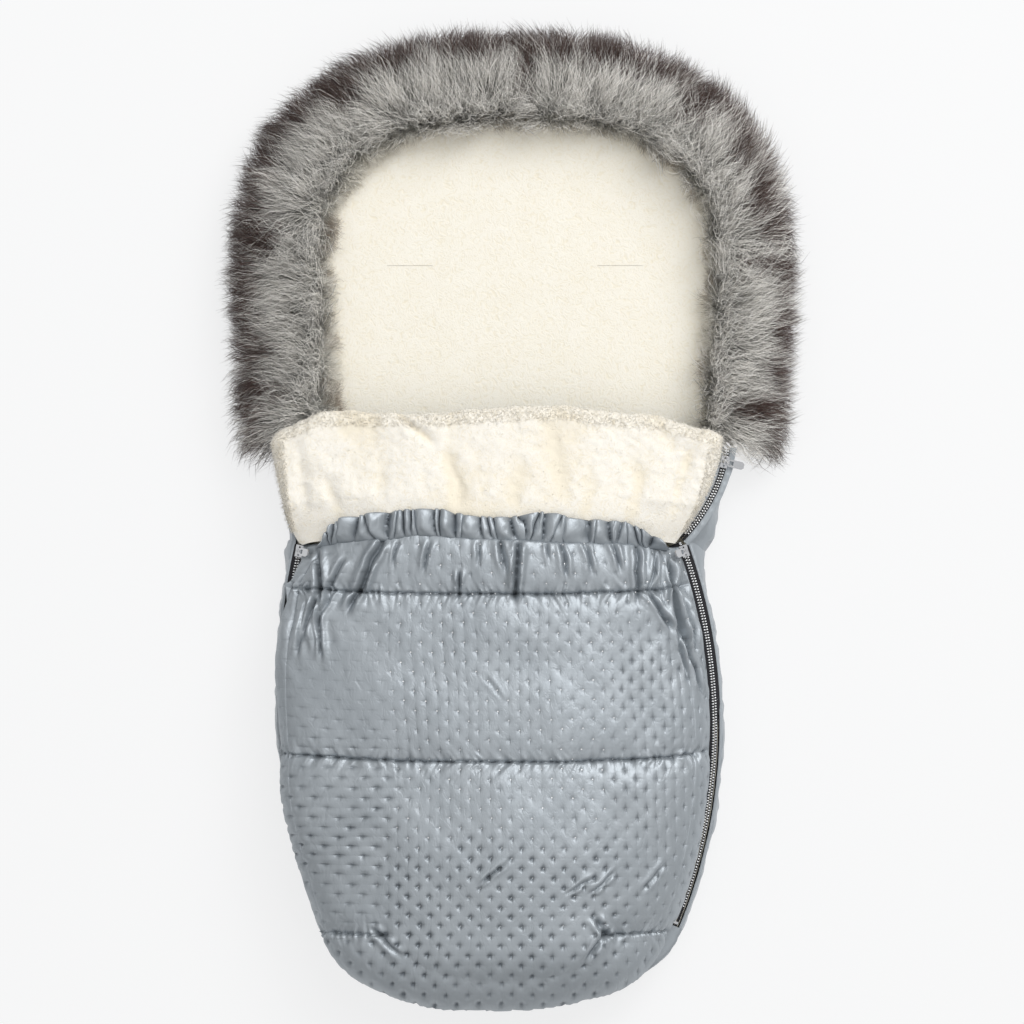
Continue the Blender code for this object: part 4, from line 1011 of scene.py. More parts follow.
def station(y):
    """Where between the mouth (0) and the toe seam (1) a place is."""
    return (y - MOUTH_Y) / (TOE_SEAM_Y - MOUTH_Y)


def seam_station(y):
    return lambda theta: station(y - SEAM_DIP * np.sin(theta))


def level_station(value):
    return lambda theta: value + 0 * theta


def mouth_station(theta):
    return station(mouth_y(cover_points(theta, 0 * theta, 0.0)[..., 0]))


inner, outer = GUSSET_ANGLE, math.pi - GUSSET_ANGLE
mouth, seam_one, seam_two = mouth_station, seam_station(UPPER_SEAM_Y), seam_station(LOWER_SEAM_Y)
toe, foot = level_station(1.0), level_station(FOOT_STATION)
for name, first, last, low, high, across, along, node in (
    ("cover_upper", mouth, seam_one, inner, outer, 320, 44, "front_upper_panel"),
    ("cover_middle", seam_one, seam_two, inner, outer, 320, 112, "front_middle_panel"),
    ("cover_lower", seam_two, toe, inner, outer, 320, 122, "front_lower_panel"),
    ("cover_toe", toe, foot, 0.0, math.pi, 300, 64, "toe_panel"),
    ("cover_side_left", mouth, toe, outer, math.pi, 26, 240, "left_side_panel"),
    ("cover_side_right", mouth, toe, 0.0, inner, 26, 240, "right_side_panel"),
):
    piece = cover_piece(name, first, last, low, high, across, along)
    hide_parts(node)
    print(name, len(piece.data.polygons), "faces")

# %% Cover: its fleece lining
FLEECE = 0.0085
u = np.linspace(0, 1, 81)[None, :]
v = np.linspace(0, 1, 81)[:, None]
theta = lerp(math.pi, 0.0, u + 0 * v)
s = lerp(station(MOUTH_Y - 0.0012), FOOT_STATION, v + 0 * u)
under = cover_points(theta, s, QUILT + FLEECE)
lumps = 0.0008 * cloud(under[..., 0], under[..., 1], 0.011, 61)[..., None]
over = cover_points(theta, s, QUILT + 0.0004)
cover_fleece = shell("cover_fleece", over, under - grid_normals(under) * lumps, lining_wool)
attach(cover_fleece, "apron")
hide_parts("apron_lining", "frill_elastic")

# %% [markdown]
# ## Cuff
# The cuff is a flap of the same fleece, sewn in behind the frill. It leans back over the lining, sags a
# little between its corners and ends in a plump, rounded edge. Its underside is satin.

# %% Cuff
CUFF_BASE_Y = -0.0262
CUFF_BASE_DEPTH = 0.014
CUFF_EDGE_ANGLE = math.radians(7)
CUFF_THICKNESS, CUFF_PLUMPNESS, CUFF_RIM = 0.0115, 0.0022, 0.0032
CUFF_EDGE = [
    (269, 446), (278, 431), (298, 423), (322, 412), (352, 411), (384, 413), (420, 415), (460, 411),
    (520, 407), (560, 405), (614, 413), (660, 416), (694, 428), (714, 431), (724, 439),
]


def soft_line(table, reach):
    """A line through a table of pixels of the photograph, its corners rounded off over a reach in pixels."""
    place, level = (np.array(column, float) for column in zip(*table))
    fine = np.linspace(place[0], place[-1], 400)
    width = int(reach / (fine[1] - fine[0])) | 1
    line = np.pad(np.interp(fine, place, level), 2 * width, mode="reflect", reflect_type="odd")
    for _ in range(3):
        line = np.convolve(line, np.ones(width) / width, mode="same")
    return metres(fine, line[2 * width:-2 * width])


CUFF_LINE = soft_line(CUFF_EDGE, 9)


def cuff_sheet(u, v):
    """The cuff's underside, from its left edge to its right (u) and from the cover to its free edge (v)."""
    u, v = np.broadcast_arrays(u, v)
    base = cover_points(lerp(math.pi - CUFF_EDGE_ANGLE, CUFF_EDGE_ANGLE, u), 0.0 * u, CUFF_BASE_DEPTH)
    low_x = base[..., 0] + lerp(-0.018, 0.012, u)
    left_x, right_x = metres(CUFF_EDGE[0][0] + 2, 0)[0], metres(CUFF_EDGE[-1][0] - 2, 0)[0]
    top_x = lerp(left_x, right_x, u)
    top_y = np.interp(top_x, CUFF_LINE[0], CUFF_LINE[1])
    widen = lerp(v**0.55, 1 - (1 - v) ** 1.8, u)
    z = lerp(base[..., 2], lerp(0.0585, 0.062, np.sin(math.pi * u)), smooth(v))
    return np.stack([lerp(low_x, top_x, widen), lerp(CUFF_BASE_Y, top_y, v), np.maximum(z, 0.0545)], -1)


def edge_round(u, v, reach_u, reach_v):
    """0 at the cuff's free edges, 1 inside them, along a quarter round."""
    near = np.minimum(np.clip(np.minimum(u, 1 - u) / reach_u, 0, 1), np.clip((1 - v) / reach_v, 0, 1))
    return np.sqrt(1 - (1 - near) ** 2)


CUFF_FOLDS = [
    (395, 412, 432, 446, 0.0060, 0.0060), (332, 480, 344, 528, 0.0040, 0.0090),
    (449, 455, 462, 518, 0.0048, 0.0100), (452, 410, 446, 450, 0.0020, 0.0080),
    (640, 470, 628, 520, 0.0040, 0.0100), (545, 420, 560, 500, 0.0022, 0.0110),
    (690, 450, 664, 520, 0.0034, 0.0080), (300, 440, 310, 520, 0.0026, 0.0090),
    (590, 480, 584, 520, 0.0022, 0.0080), (520, 460, 516, 510, 0.0018, 0.0080),
    (388, 455, 380, 505, 0.0020, 0.0090), (655, 420, 668, 450, 0.0022, 0.0080),
]


def cuff_relief(x, y):
    """Soft hills of the cuff's fleece and its folds, from a pixel to a pixel like those of the cover."""
    soft = 0.0026 * cloud(x, y * 0.6, 0.050, 71)
    for height, size, seed in ((0.0010, 0.017, 72), (0.0006, 0.0065, 73), (0.0005, 0.0035, 76)):
        soft = soft + height * cloud(x, y, size, seed)
    wander = 0.003 * cloud(x, y, 0.025, 75)
    for *line, depth, width in CUFF_FOLDS:
        along, off, length = beside_line(x, y, *line)
        fade = smooth((along + 0.010) / 0.020) * smooth((length + 0.012 - along) / 0.024)
        soft = soft - fade * depth * np.exp(-(((off + wander) / width * 1.3) ** 2))
    return soft


u = np.linspace(0, 1, 241)[None, :]
v = np.linspace(0, 1, 81)[:, None]
sheet = cuff_sheet(u, v)
square = upward_normals(sheet, 0)
sheet[..., 1] += 0.0010 * cloud(sheet[..., 0], 0 * v + 0.3, 0.006, 77) * smooth((v - 0.8) / 0.2)
plump = edge_round(u, v, 0.034, 0.14)
x, y = sheet[..., 0], sheet[..., 1]
loose = smooth((v - 0.20) / 0.15)
relief = cuff_relief(x, y)
lift = (CUFF_THICKNESS + (CUFF_PLUMPNESS + relief) * loose) * lerp(0.45, 1.0, smooth(v / 0.25))
lift = lerp(CUFF_RIM, lift, plump)
cuff_top = sheet + square * lift[..., None]
cuff_fleece = shell("cuff_fleece", cuff_top, sheet + square * 0.0028, cuff_wool)
# Painted shade: the deeper a fold of the cuff, the darker its wool is painted.
painted_shade = np.clip(-relief / 0.0045, 0, 1)
write_attribute(cuff_fleece.data, "painted_shade", np.tile(painted_shade.ravel(), 2))
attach(cuff_fleece, "cuff")
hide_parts("cuff_lining")
cuff_back = shell("cuff_back", sheet + square * 0.0025, sheet, plain_satin)
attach(cuff_back, "cuff")
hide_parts("cuff_shell")
print("cuff:", len(cuff_fleece.data.polygons), "faces")

# %% [markdown]
# ## Frill
# Elastic in a channel gathers the cover's top edge into a short ruffle of plain satin. Its pleats are uneven:
# they crowd where the elastic is tightest, lean over and fold back on themselves. So each pleat has a place
# of its own in a list, and one wave runs through them all, pushing the cloth up and sideways.

# %% Frill
FRILL_EDGE = [
    (318, 545), (326, 534), (335, 524), (348, 518), (373, 515), (406, 510), (443, 509), (463, 515),
    (500, 518), (518, 516), (537, 512), (558, 515), (580, 519), (625, 522), (645, 530), (658, 540),
    (666, 547),
]
PLEATS = [
    318, 324, 329, 337, 342, 361, 368, 392, 398, 404, 413, 417, 436, 441, 456, 463, 482, 488, 494, 511,
    517, 538, 543, 561, 567, 590, 596, 608, 613, 621, 626, 634, 640, 652, 666,
]
FRILL_LINE = soft_line(FRILL_EDGE, 4)
FRILL_ROWS, FRILL_COLUMNS = 25, 841
PLEAT_HEIGHT, PLEAT_WANDER = 0.0092, 13
frill_draw = np.random.default_rng(83)
pleat_top = np.array(PLEATS, float)
pleat_foot = np.sort(pleat_top + frill_draw.uniform(-PLEAT_WANDER, PLEAT_WANDER, len(PLEATS)))
pleat_height = frill_draw.uniform(0.55, 1.25, len(PLEATS))
pleat_lean = frill_draw.choice([-1.0, 1.0], len(PLEATS)) * frill_draw.uniform(0.4, 1.0, len(PLEATS))
v = np.linspace(0, 1, FRILL_ROWS)[:, None]
x = np.linspace(FRILL_LINE[0][0], FRILL_LINE[0][-1], FRILL_COLUMNS)[None, :] + 0 * v
pixel, counted = pixel_column(x), np.arange(len(PLEATS))
phase = lerp(np.interp(pixel, pleat_foot, counted), np.interp(pixel, pleat_top, counted), v)
number = np.clip(np.floor(phase).astype(int), 0, len(PLEATS) - 2)
within = phase - number
width = np.diff(pleat_top)[number] / PIXELS_A_METRE
lobe = np.sin(math.pi * np.clip(within, 0, 1)) ** 0.55
ease = smooth((v + 0.05) / 0.45)
tall = pleat_height[number] * np.clip(width / 0.012, 0.55, 1.0) * ease
full = np.linspace(math.pi, 0, 721)
arch_line = cover_points(full, station(mouth_y(cover_points(full, 0 * full, 0.0)[:, 0])), 0.0010)
top_y = np.interp(x, *FRILL_LINE) + 0.0022 * (lobe - 0.5) * pleat_height[number]
low_y = np.interp(x, arch_line[:, 0], arch_line[:, 1]) - 0.0050
low_z = np.interp(x, arch_line[:, 0], arch_line[:, 2])
cuff_row = cuff_sheet(np.linspace(0, 1, 241)[None, :], 0.20 + np.zeros((1, 241)))[0]
high_z = np.interp(x, cuff_row[:, 0], cuff_row[:, 2]) + CUFF_THICKNESS + 0.0035
frill_z = lerp(low_z, high_z, smooth(v)) + 0.0030 * np.sin(math.pi * v) ** 0.7
frill_z = frill_z + PLEAT_HEIGHT * tall * (lobe - 0.55)
frill_z = frill_z + 0.0008 * cloud(x, v * 0.02, 0.005, 82) * ease
lean = pleat_lean[number] * width * 0.42 * lobe * ease
frill_x = x + lean + 0.0010 * cloud(x, v * 0.03, 0.009, 86) * v
front = np.stack([frill_x, lerp(low_y, top_y, v), frill_z], -1)
ruffle = shell("frill_ruffle", front, front - (0, 0, 0.0010), plain_satin)
# Painted shade: the ruffle is painted darker between its pleats and along its stitched foot.
pleat_painted_shade = np.clip(1 - lobe / 0.75, 0, 1) * (0.35 + 0.65 * ease) + 0.8 * np.exp(-((v / 0.10) ** 2))
write_attribute(ruffle.data, "painted_shade", np.tile(np.clip(pleat_painted_shade, 0, 0.85).ravel(), 2))
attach(ruffle, "cuff")
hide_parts("frill")
print("frill:", len(PLEATS), "pleats")

# %% [markdown]
# ## Toe binding
# Round the foot end the cover and the back are sewn together with a folded strip of cloth. It is the hinge
# when the cover is opened.

# %% Toe binding
low_rows = edges[LEFT][:, 1] <= TOE_SEAM_Y + 0.004
toe_line = np.concatenate([edges[LEFT][low_rows][::-1], edges[RIGHT][low_rows][1:]])
ahead = np.gradient(toe_line, axis=0)
toe_out = unit(np.stack([ahead[:, 1], -ahead[:, 0]], -1))
BINDING_SECTION = [
    (0.0076, 0.0455), (0.0088, 0.0470), (0.0090, 0.0486), (0.0078, 0.0500), (0.0050, 0.0507),
    (0.0015, 0.0509), (-0.0020, 0.0513), (-0.0045, 0.0522),
]
binding_offset, binding_height = (np.array(column)[None, :] for column in zip(*BINDING_SECTION))
ripple = 0.0006 * cloud(np.arange(len(toe_line))[:, None] * 0.004, 0 * binding_height, 0.006, 89)
strip = toe_line[:, None] + toe_out[:, None] * (binding_offset + ripple)[..., None]
strip = np.concatenate([strip, (binding_height + 0 * ripple)[..., None]], -1)
inside = strip - np.concatenate([toe_out, 0 * toe_out[:, :1] + 0.6], -1)[:, None] * 0.0009
toe_strip = shell("toe_binding_strip", strip, inside, plain_satin)
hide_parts("toe_binding")
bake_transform(toe_strip)
print("toe binding:", len(toe_strip.data.polygons), "faces")

# %% [markdown]
# ## Hairs by Geometry Nodes
# Fur and pile are the same idea at two sizes: one tapered hair, copied to every root point. The roots are a
# cloud of points that know where their hair aims, which way is up, how long it is and what colours it has.
# The node tree copies the hair, turns it, scales it and makes the copies real.

# %% Hairs by Geometry Nodes
def hair_mesh(name, stations, sides=3):
    """One closed hair along +X that arches and bends: stations of (share along, bend, lift, radius)."""
    points = []
    for share, bend, lift, radius in stations[:-1]:
        for k in range(sides):
            turn = 2 * math.pi * k / sides
            points.append((share, bend + radius * math.cos(turn), lift + radius * math.sin(turn)))
    points.append(stations[-1][:3])
    faces = [tuple(range(sides))]
    for row in range(len(stations) - 2):
        for k in range(sides):
            j = (k + 1) % sides
            faces.append((row * sides + k, (row + 1) * sides + k, (row + 1) * sides + j, row * sides + j))
    last = (len(stations) - 2) * sides
    faces += [(last + k, len(points) - 1, last + (k + 1) % sides) for k in range(sides)]
    mesh = bpy.data.meshes.new(name)
    mesh.from_pydata(points, [], faces)
    mesh.shade_smooth()
    along = np.array([point[0] for point in points])
    write_attribute(mesh, "along", along)
    return show(name, mesh)


def copy_tree(name, inputs):
    """An empty geometry node group with named inputs and one output."""
    tree = bpy.data.node_groups.new(name, "GeometryNodeTree")
    for label, kind in inputs.items():
        tree.interface.new_socket(label, in_out="INPUT", socket_type="NodeSocket" + kind)
    tree.interface.new_socket("Copies", in_out="OUTPUT", socket_type="NodeSocketGeometry")
    return tree, tree.nodes.new("NodeGroupInput").outputs


def place_copies(tree, model, finish, where):
    """The end of such a tree: copies of a model at points, made real and given their material."""
    copy = put(tree, "GeometryNodeObjectInfo", {"Object": model}, transform_space="ORIGINAL")
    where = {"Instance": copy.outputs["Geometry"], **where}
    copies = put(tree, "GeometryNodeInstanceOnPoints", where).outputs[0]
    real = put(tree, "GeometryNodeRealizeInstances", {0: copies}).outputs[0]
    painted = put(tree, "GeometryNodeSetMaterial", {"Geometry": real, "Material": finish}).outputs[0]
    put(tree, "NodeGroupOutput", {0: painted})


def hair_tree():
    tree, given = copy_tree("Plant hairs", {"Roots": "Geometry", "Hair": "Object", "Finish": "Material"})
    aim, up, size = (
        put(tree, "GeometryNodeInputNamedAttribute", {"Name": label}, data_type=kind).outputs[0]
        for label, kind in (("aim", "FLOAT_VECTOR"), ("up", "FLOAT_VECTOR"), ("size", "FLOAT")))
    roots = put(tree, "GeometryNodeMeshToPoints", {"Mesh": given["Roots"]}).outputs[0]
    turned = put(tree, "FunctionNodeAlignRotationToVector", {"Vector": aim}, axis="X").outputs[0]
    rolled = put(tree, "FunctionNodeAlignRotationToVector", {
        "Rotation": turned, "Vector": up}, axis="Z", pivot_axis="X").outputs[0]
    place_copies(tree, given["Hair"], given["Finish"], {"Points": roots, "Rotation": rolled, "Scale": size})
    return tree


PLANT_HAIRS = hair_tree()


def run_tree(name, source, tree, values):
    """Runs a node tree on an object and returns its result as a plain mesh piece; the source goes."""
    worker = source.modifiers.new("tree", "NODES")
    worker.node_group = tree
    labels = {item.name: item.identifier for item in tree.interface.items_tree if item.in_out == "INPUT"}
    for label, value in values.items():
        worker[labels[label]] = value
    bpy.context.view_layer.update()
    shown = source.evaluated_get(bpy.context.evaluated_depsgraph_get())
    mesh = bpy.data.meshes.new_from_object(shown)
    mesh.name = name
    bpy.data.objects.remove(source)
    return show(name, mesh)


def plant(name, roots, aim, up, size, hair, finish, **paint):
    """Plants a hair at every root, turned and scaled, and drops the attributes that only the tree reads."""
    mesh = bpy.data.meshes.new(name + "_roots")
    mesh.from_pydata(roots.tolist(), [], [])
    for label, values in (("aim", aim), ("up", up), ("size", size), *paint.items()):
        write_attribute(mesh, label, values)
    source = show(name + "_roots", mesh)
    piece = run_tree(name, source, PLANT_HAIRS, {"Hair": hair, "Finish": finish})
    for label in ("aim", "up", "size"):
        if label in piece.data.attributes:
            piece.data.attributes.remove(piece.data.attributes[label])
    return piece


# %% [markdown]
# ## Fur trim
# The trim is a long-haired fur sewn round the head end. The hairs part along a line near its inner edge: a
# short fringe lies inwards over the lining, the rest sweeps outwards in tufts. Each hair is dark at its root
# and silver along its length, and in the outer band its tip turns brown-black in uneven patches.

# %% Fur trim: its skin
FUR_BASE = 0.0239
SKIN = [
    (0.05, FUR_BASE), (0.01, FUR_BASE + 0.002), (0.06, FUR_BASE + 0.009), (0.20, FUR_BASE + 0.015),
    (0.40, FUR_BASE + 0.018), (0.58, FUR_BASE + 0.017), (0.70, FUR_BASE + 0.011), (0.78, FUR_BASE),
    (0.80, FUR_BASE - 0.009), (0.74, FUR_BASE - 0.017), (0.62, FUR_BASE - 0.0195), (0.61, FUR_BASE),
]
END_SHARE = 0.03
SKIN_LOW, SKIN_HIGH = (0.42, 0.415, 0.385), (0.60, 0.595, 0.55)
skin_s, skin_z = (np.array(column) for column in zip(*SKIN))


def end_size(t):
    """The skin gets lower towards both ends of the horseshoe."""
    return lerp(0.6, 1.0, smooth(np.minimum(t, 1 - t) / END_SHARE))


t = np.linspace(0, 1, 161)
skin_plan = across_fur(np.repeat(t[:, None], len(SKIN), 1), np.repeat(skin_s[None], len(t), 0))
skin_up = lerp(FUR_BASE, skin_z[None], end_size(t)[:, None])
skin_grid = np.concatenate([skin_plan, skin_up[..., None]], -1)
rows, columns = skin_grid.shape[:2]
skin_cloth, skin_nodes, skin_shader = finish_of("fur_skin", 0.9, specular=0.1)
skin_grain = use(skin_nodes, GRAIN, {"Place": object_place(skin_nodes), "Scale": 500.0})
skin_colour = tint(skin_nodes, skin_grain["Height"], SKIN_LOW, SKIN_HIGH)
skin_nodes.links.new(skin_colour, skin_shader.inputs["Base Color"])
closed_tube = grid_faces(rows, columns, ring=True).tolist()
for row in (0, rows - 1):
    ring = row * columns
    closed_tube += [(ring, ring + k, ring + k + 1) for k in range(1, columns - 1)]
skin_mesh = bpy.data.meshes.new("fur_skin")
skin_mesh.from_pydata(skin_grid.reshape(-1, 3).tolist(), [], closed_tube)
work = bmesh.new()
work.from_mesh(skin_mesh)
bmesh.ops.recalc_face_normals(work, faces=work.faces)
work.to_mesh(skin_mesh)
work.free()
skin_mesh.shade_smooth()
skin_mesh.materials.append(skin_cloth)
fur_skin = show("fur_skin", skin_mesh)
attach(fur_skin, "back")
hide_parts("fur_trim")
print("fur skin:", len(skin_mesh.polygons), "faces")

# %% Fur trim: where hairs root
FUR_WIDTH = 0.105


def skin_place(t, q):
    """A place on the skin: t runs round the horseshoe, q from its inner edge over the top to under its outer
    lobe."""
    s, z = skin_s[1:10], skin_z[1:10]
    run = np.concatenate([[0], np.cumsum(np.hypot(np.diff(s) * FUR_WIDTH, np.diff(z)))])
    run /= run[-1]
    height = lerp(FUR_BASE, np.interp(q, run, z), end_size(t))
    return np.concatenate([across_fur(t, np.interp(q, run, s)), height[:, None]], -1)


fine_t = np.linspace(0, 1, 1001)
middle_line = across_fur(fine_t, 0.5 + 0 * fine_t)
middle_run = np.concatenate([[0], np.cumsum(np.linalg.norm(np.diff(middle_line, axis=0), axis=1))])


def hair_field(t, q):
    """Where hairs root, and there the directions across the skin, along it and away from it."""
    step = 0.004
    ahead = unit(skin_place(t, np.minimum(q + step, 1.0)) - skin_place(t, np.maximum(q - step, 0.0)))
    along = unit(skin_place(np.minimum(t + step, 1.0), q) - skin_place(np.maximum(t - step, 0.0), q))
    out = unit(np.cross(along, ahead))
    return skin_place(t, q), ahead, along, out * np.sign(np.where(q < 0.75, out[:, 2], 1))[:, None]


# %% Fur trim: the hair and its finish
fur_hair, fur_nodes, fur_shader = finish_of("fur_hair", 0.42, specular=0.45, sheen=0.12)
fur_shader.inputs["Sheen Roughness"].default_value = 0.35
along_hair = stored(fur_nodes, "along")
fur_colour = stored(fur_nodes, "root_paint", "Color")
for start, end, part in ((0.02, 0.36, "mid_paint"), (0.40, 0.66, "tip_paint")):
    reached = put(
        fur_nodes, "ShaderNodeMapRange", {0: along_hair, 1: start, 2: end}, interpolation_type="SMOOTHSTEP")
    fur_colour = tint(fur_nodes, reached.outputs[0], fur_colour, stored(fur_nodes, part, "Color"))
fur_nodes.links.new(fur_colour, fur_shader.inputs["Base Color"])

ROOT_TONES = (0.10, 0.096, 0.088), (0.66, 0.648, 0.605)
SILVER_TONES = (0.22, 0.212, 0.195), (1.0, 0.975, 0.925)
MAUVE_TONES = (0.18, 0.140, 0.130), (0.99, 0.935, 0.890)
BLACK_TONES = (0.026, 0.010, 0.006), (0.120, 0.070, 0.055)
TIP_TONES = (0.34, 0.328, 0.305), (1.0, 0.975, 0.925)
FRINGE_MIDDLE_TONES = (0.34, 0.315, 0.26), (0.98, 0.96, 0.89)
FRINGE_TIP_TONES = (0.52, 0.48, 0.39), (0.99, 0.955, 0.86)
BROWN_TONES = (0.10, 0.07, 0.045), (0.36, 0.27, 0.19)


def paint(tones, share):
    """A colour for each hair between two tones."""
    low, high = tones
    colour = lerp(np.array(low), np.array(high), share[:, None])
    return np.concatenate([colour, np.ones((len(share), 1))], -1)


# %% Fur trim: partings, tufts and dark patches
PARTING_T = [0.0, 0.10, 0.2, 0.32, 0.45, 0.55, 0.70, 0.80, 0.90, 1.0]
PARTING_Q = [0.17, 0.15, 0.14, 0.13, 0.10, 0.10, 0.11, 0.12, 0.13, 0.15]
RIM_T = [0.0, 0.15, 0.30, 0.42, 0.58, 0.66, 0.80, 1.0]
RIM_SHARE = [0.70, 0.82, 0.92, 0.91, 0.90, 0.76, 0.60, 0.62]
FRINGE_COUNT_SHARE = 0.16
TUFT, FRINGE_TUFT = 0.0042, 0.0075
FRINGE_LENGTHS, HAIR_LENGTHS = (0.014, 0.021), (0.041, 0.032)
LOWEST_TIP = 0.004
GROOVE_WIDTH, GROOVE_PAINTED_SHADE = 0.005, 0.45
TUFT_GROOVES = [(262, 392), (262, 240), (345, 112), (522, 75), (702, 98), (765, 263)]
DARK_PATCHES = [
    (246, 238, 20, 14), (262, 248, 12, 7), (244, 204, 11, 14), (229, 300, 11, 26), (252, 351, 15, 10),
    (245, 391, 30, 5), (228, 415, 9, 22), (338, 84, 17, 20), (306, 92, 16, 10), (383, 50, 40, 11),
    (284, 112, 15, 12), (258, 152, 12, 16), (462, 42, 34, 10), (523, 62, 6, 28), (556, 42, 26, 10),
    (600, 48, 24, 10), (632, 58, 18, 9), (660, 66, 16, 9), (708, 90, 20, 10), (698, 108, 12, 9),
    (744, 142, 11, 18), (765, 190, 11, 22), (776, 226, 11, 16), (778, 263, 28, 6), (790, 330, 9, 22),
    (784, 370, 11, 12), (764, 408, 24, 12), (232, 262, 9, 20), (228, 350, 9, 20),
]

groove_run = [0.0]
for place in TUFT_GROOVES:
    groove_run.append(middle_run[np.linalg.norm(middle_line - metres(*place), axis=1).argmin()])
groove_run = np.array(sorted(groove_run) + [middle_run[-1]])


def patch_share(x, y):
    """1 in the middle of a brown-black patch of the photograph, 0 away from all of them."""
    share = np.zeros_like(x)
    for px, py, reach_x, reach_y in DARK_PATCHES:
        place_x, place_y = metres(px, py)
        beside, above = (x - place_x) * PIXELS_A_METRE, (y - place_y) * PIXELS_A_METRE
        far = (beside / reach_x) ** 2 + (above / reach_y) ** 2
        share = np.maximum(share, np.exp(-far * 0.55))
    return share


def fur_layer(name, count, seed, bend, guard):
    """One layer of hairs: pale guard hairs (guard 1) that stand over the darker hairs below (guard 0)."""
    draw = np.random.default_rng(seed)
    t = np.interp(draw.uniform(0, middle_run[-1], count), middle_run, fine_t)
    at_fringe = draw.uniform(0, 1, count) < FRINGE_COUNT_SHARE
    q = np.where(at_fringe, draw.uniform(0.0, 0.14, count), draw.uniform(0.02, 1.0, count))
    run = np.interp(t, fine_t, middle_run)
    root, ahead, along, out = hair_field(t, q)
    part = np.interp(t, PARTING_T, PARTING_Q) + 0.050 * cloud(run, 0 * run, 0.035, 91)
    inner = q + draw.normal(0, 0.040, count) < part
    away = np.abs(q - part)
    tangle = np.exp(-away / 0.10)
    lift = lerp(0.90, 0.20, smooth(away / 0.24)) + 0.11 * draw.normal(size=count)
    lift = lift - 0.42 * smooth((q - 0.72) / 0.2) + 0.08 * guard
    lift = np.where(inner, 0.16 + 0.50 * smooth(q / 0.16) + 0.20 * draw.normal(size=count), lift)
    wide = q * 0.12
    lobe = np.clip(np.searchsorted(groove_run, run) - 1, 0, len(groove_run) - 2)
    in_lobe = 2 * (run - groove_run[lobe]) / (groove_run[lobe + 1] - groove_run[lobe]) - 1
    fan = 0.62 * in_lobe**3 + 0.10 * in_lobe
    swirl = fan + 0.42 * cloud(run, wide, 0.045, 92) + 0.30 * cloud(run, wide, 0.016, 93)
    swirl = swirl + (0.11 + 0.38 * tangle + 0.22 * inner) * draw.normal(size=count)
    way = np.where(inner, -1, 1)[:, None]
    flat = unit(ahead * way * np.cos(swirl)[:, None] + along * np.sin(swirl)[:, None])
    aim = flat * np.cos(lift)[:, None] + out * np.sin(lift)[:, None]
    fringe_length = lerp(*FRINGE_LENGTHS, smooth(q / 0.20))
    length = np.where(inner, fringe_length, lerp(*HAIR_LENGTHS, smooth((q - 0.45) / 0.4)))
    length = length * (1 + 0.11 * draw.normal(size=count).clip(-2, 1.4))
    length = length * (1 + 0.06 * cloud(run, wide, 0.010, 90))
    length = length * lerp(0.95, 1.06, guard)
    length = np.where(inner, length * (1 + 0.35 * cloud(run, 0 * run, 0.014, 87)), length)
    cell = np.where(inner, FRINGE_TUFT, TUFT)
    ci = np.floor(run / cell + 0.45 * cloud(run, wide, 0.012, 94))
    cj = np.floor(wide / cell + 0.45 * cloud(run, wide, 0.012, 95))
    pull = along * ((run / cell - ci - 0.5) * cell)[:, None]
    pull = pull + ahead * ((wide / cell - cj - 0.5) * cell)[:, None]
    length = np.where(inner, length * (1 + 0.42 * cloud(ci * 3.7, cj * 5.3, 1.0, 98)), length)
    tip = root + aim * length[:, None] - pull * np.where(inner, 0.9, 0.84)[:, None]
    tip[:, 2] = np.maximum(tip[:, 2], LOWEST_TIP)
    chord = tip - root
    tone = draw.uniform(0, 1, count)
    tuft = np.clip(0.5 + 1.1 * cloud(ci * 3.7, cj * 5.3, 1.0, 96), 0, 1)
    mixed = smooth((0.78 * tuft + 0.22 * tone - lerp(0.30, -0.04, guard)) / 0.36)
    seen = root + 0.75 * chord
    patch = patch_share(seen[:, 0], seen[:, 1])
    band = smooth((q - 0.36) / 0.18)
    rim = smooth((q - 0.34) / 0.24) * np.interp(t, RIM_T, RIM_SHARE)
    share = np.maximum(rim + 0.22 * band * cloud(run, wide, 0.02, 97), patch * 1.04) - 0.08 * guard
    dark = smooth((share - 0.25 * tuft - 0.75 * draw.uniform(0, 1, count)) / 0.2 + 0.5)[:, None]
    # Painted shade: near the grooves between tufts, the hairs' roots and middles are painted darker.
    groove = np.exp(-(((run[:, None] - groove_run[None, 1:-1]) / GROOVE_WIDTH) ** 2)).max(1)
    shade = (1 - GROOVE_PAINTED_SHADE * groove * smooth((q - part) / 0.15))[:, None]
    mauve = lerp(paint(SILVER_TONES, mixed), paint(MAUVE_TONES, mixed), 0.7 * band[:, None])
    black = paint(BLACK_TONES, tone)
    mid = lerp(mauve, black, 0.92 * dark * np.maximum(patch, 0.35 * band)[:, None])
    mid = np.where(inner[:, None], paint(FRINGE_MIDDLE_TONES, mixed), mid)
    brown = smooth((cloud(run, 0 * run, 0.018, 99) - 0.38) / 0.3)[:, None]
    fringe = lerp(paint(FRINGE_TIP_TONES, mixed), paint(BROWN_TONES, tone), brown)
    tip_tone = np.where(inner[:, None], fringe, lerp(paint(TIP_TONES, mixed), black, dark))
    long_hair = hair_mesh("long_hair", [
        (0.0, 0.0, 0.0, 0.0058), (0.30, 0.6 * bend, 0.075, 0.0066), (0.66, bend, 0.085, 0.0048),
        (1.0, 0.0, 0.0, 0.0)])
    paints = {"root_paint": paint(ROOT_TONES, mixed) * shade, "mid_paint": mid * shade, "tip_paint": tip_tone}
    made = plant(
        name, root, unit(chord), out, np.linalg.norm(chord, axis=1), long_hair, fur_hair, **paints)
    bpy.data.objects.remove(long_hair)
    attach(made, "back")
    return made


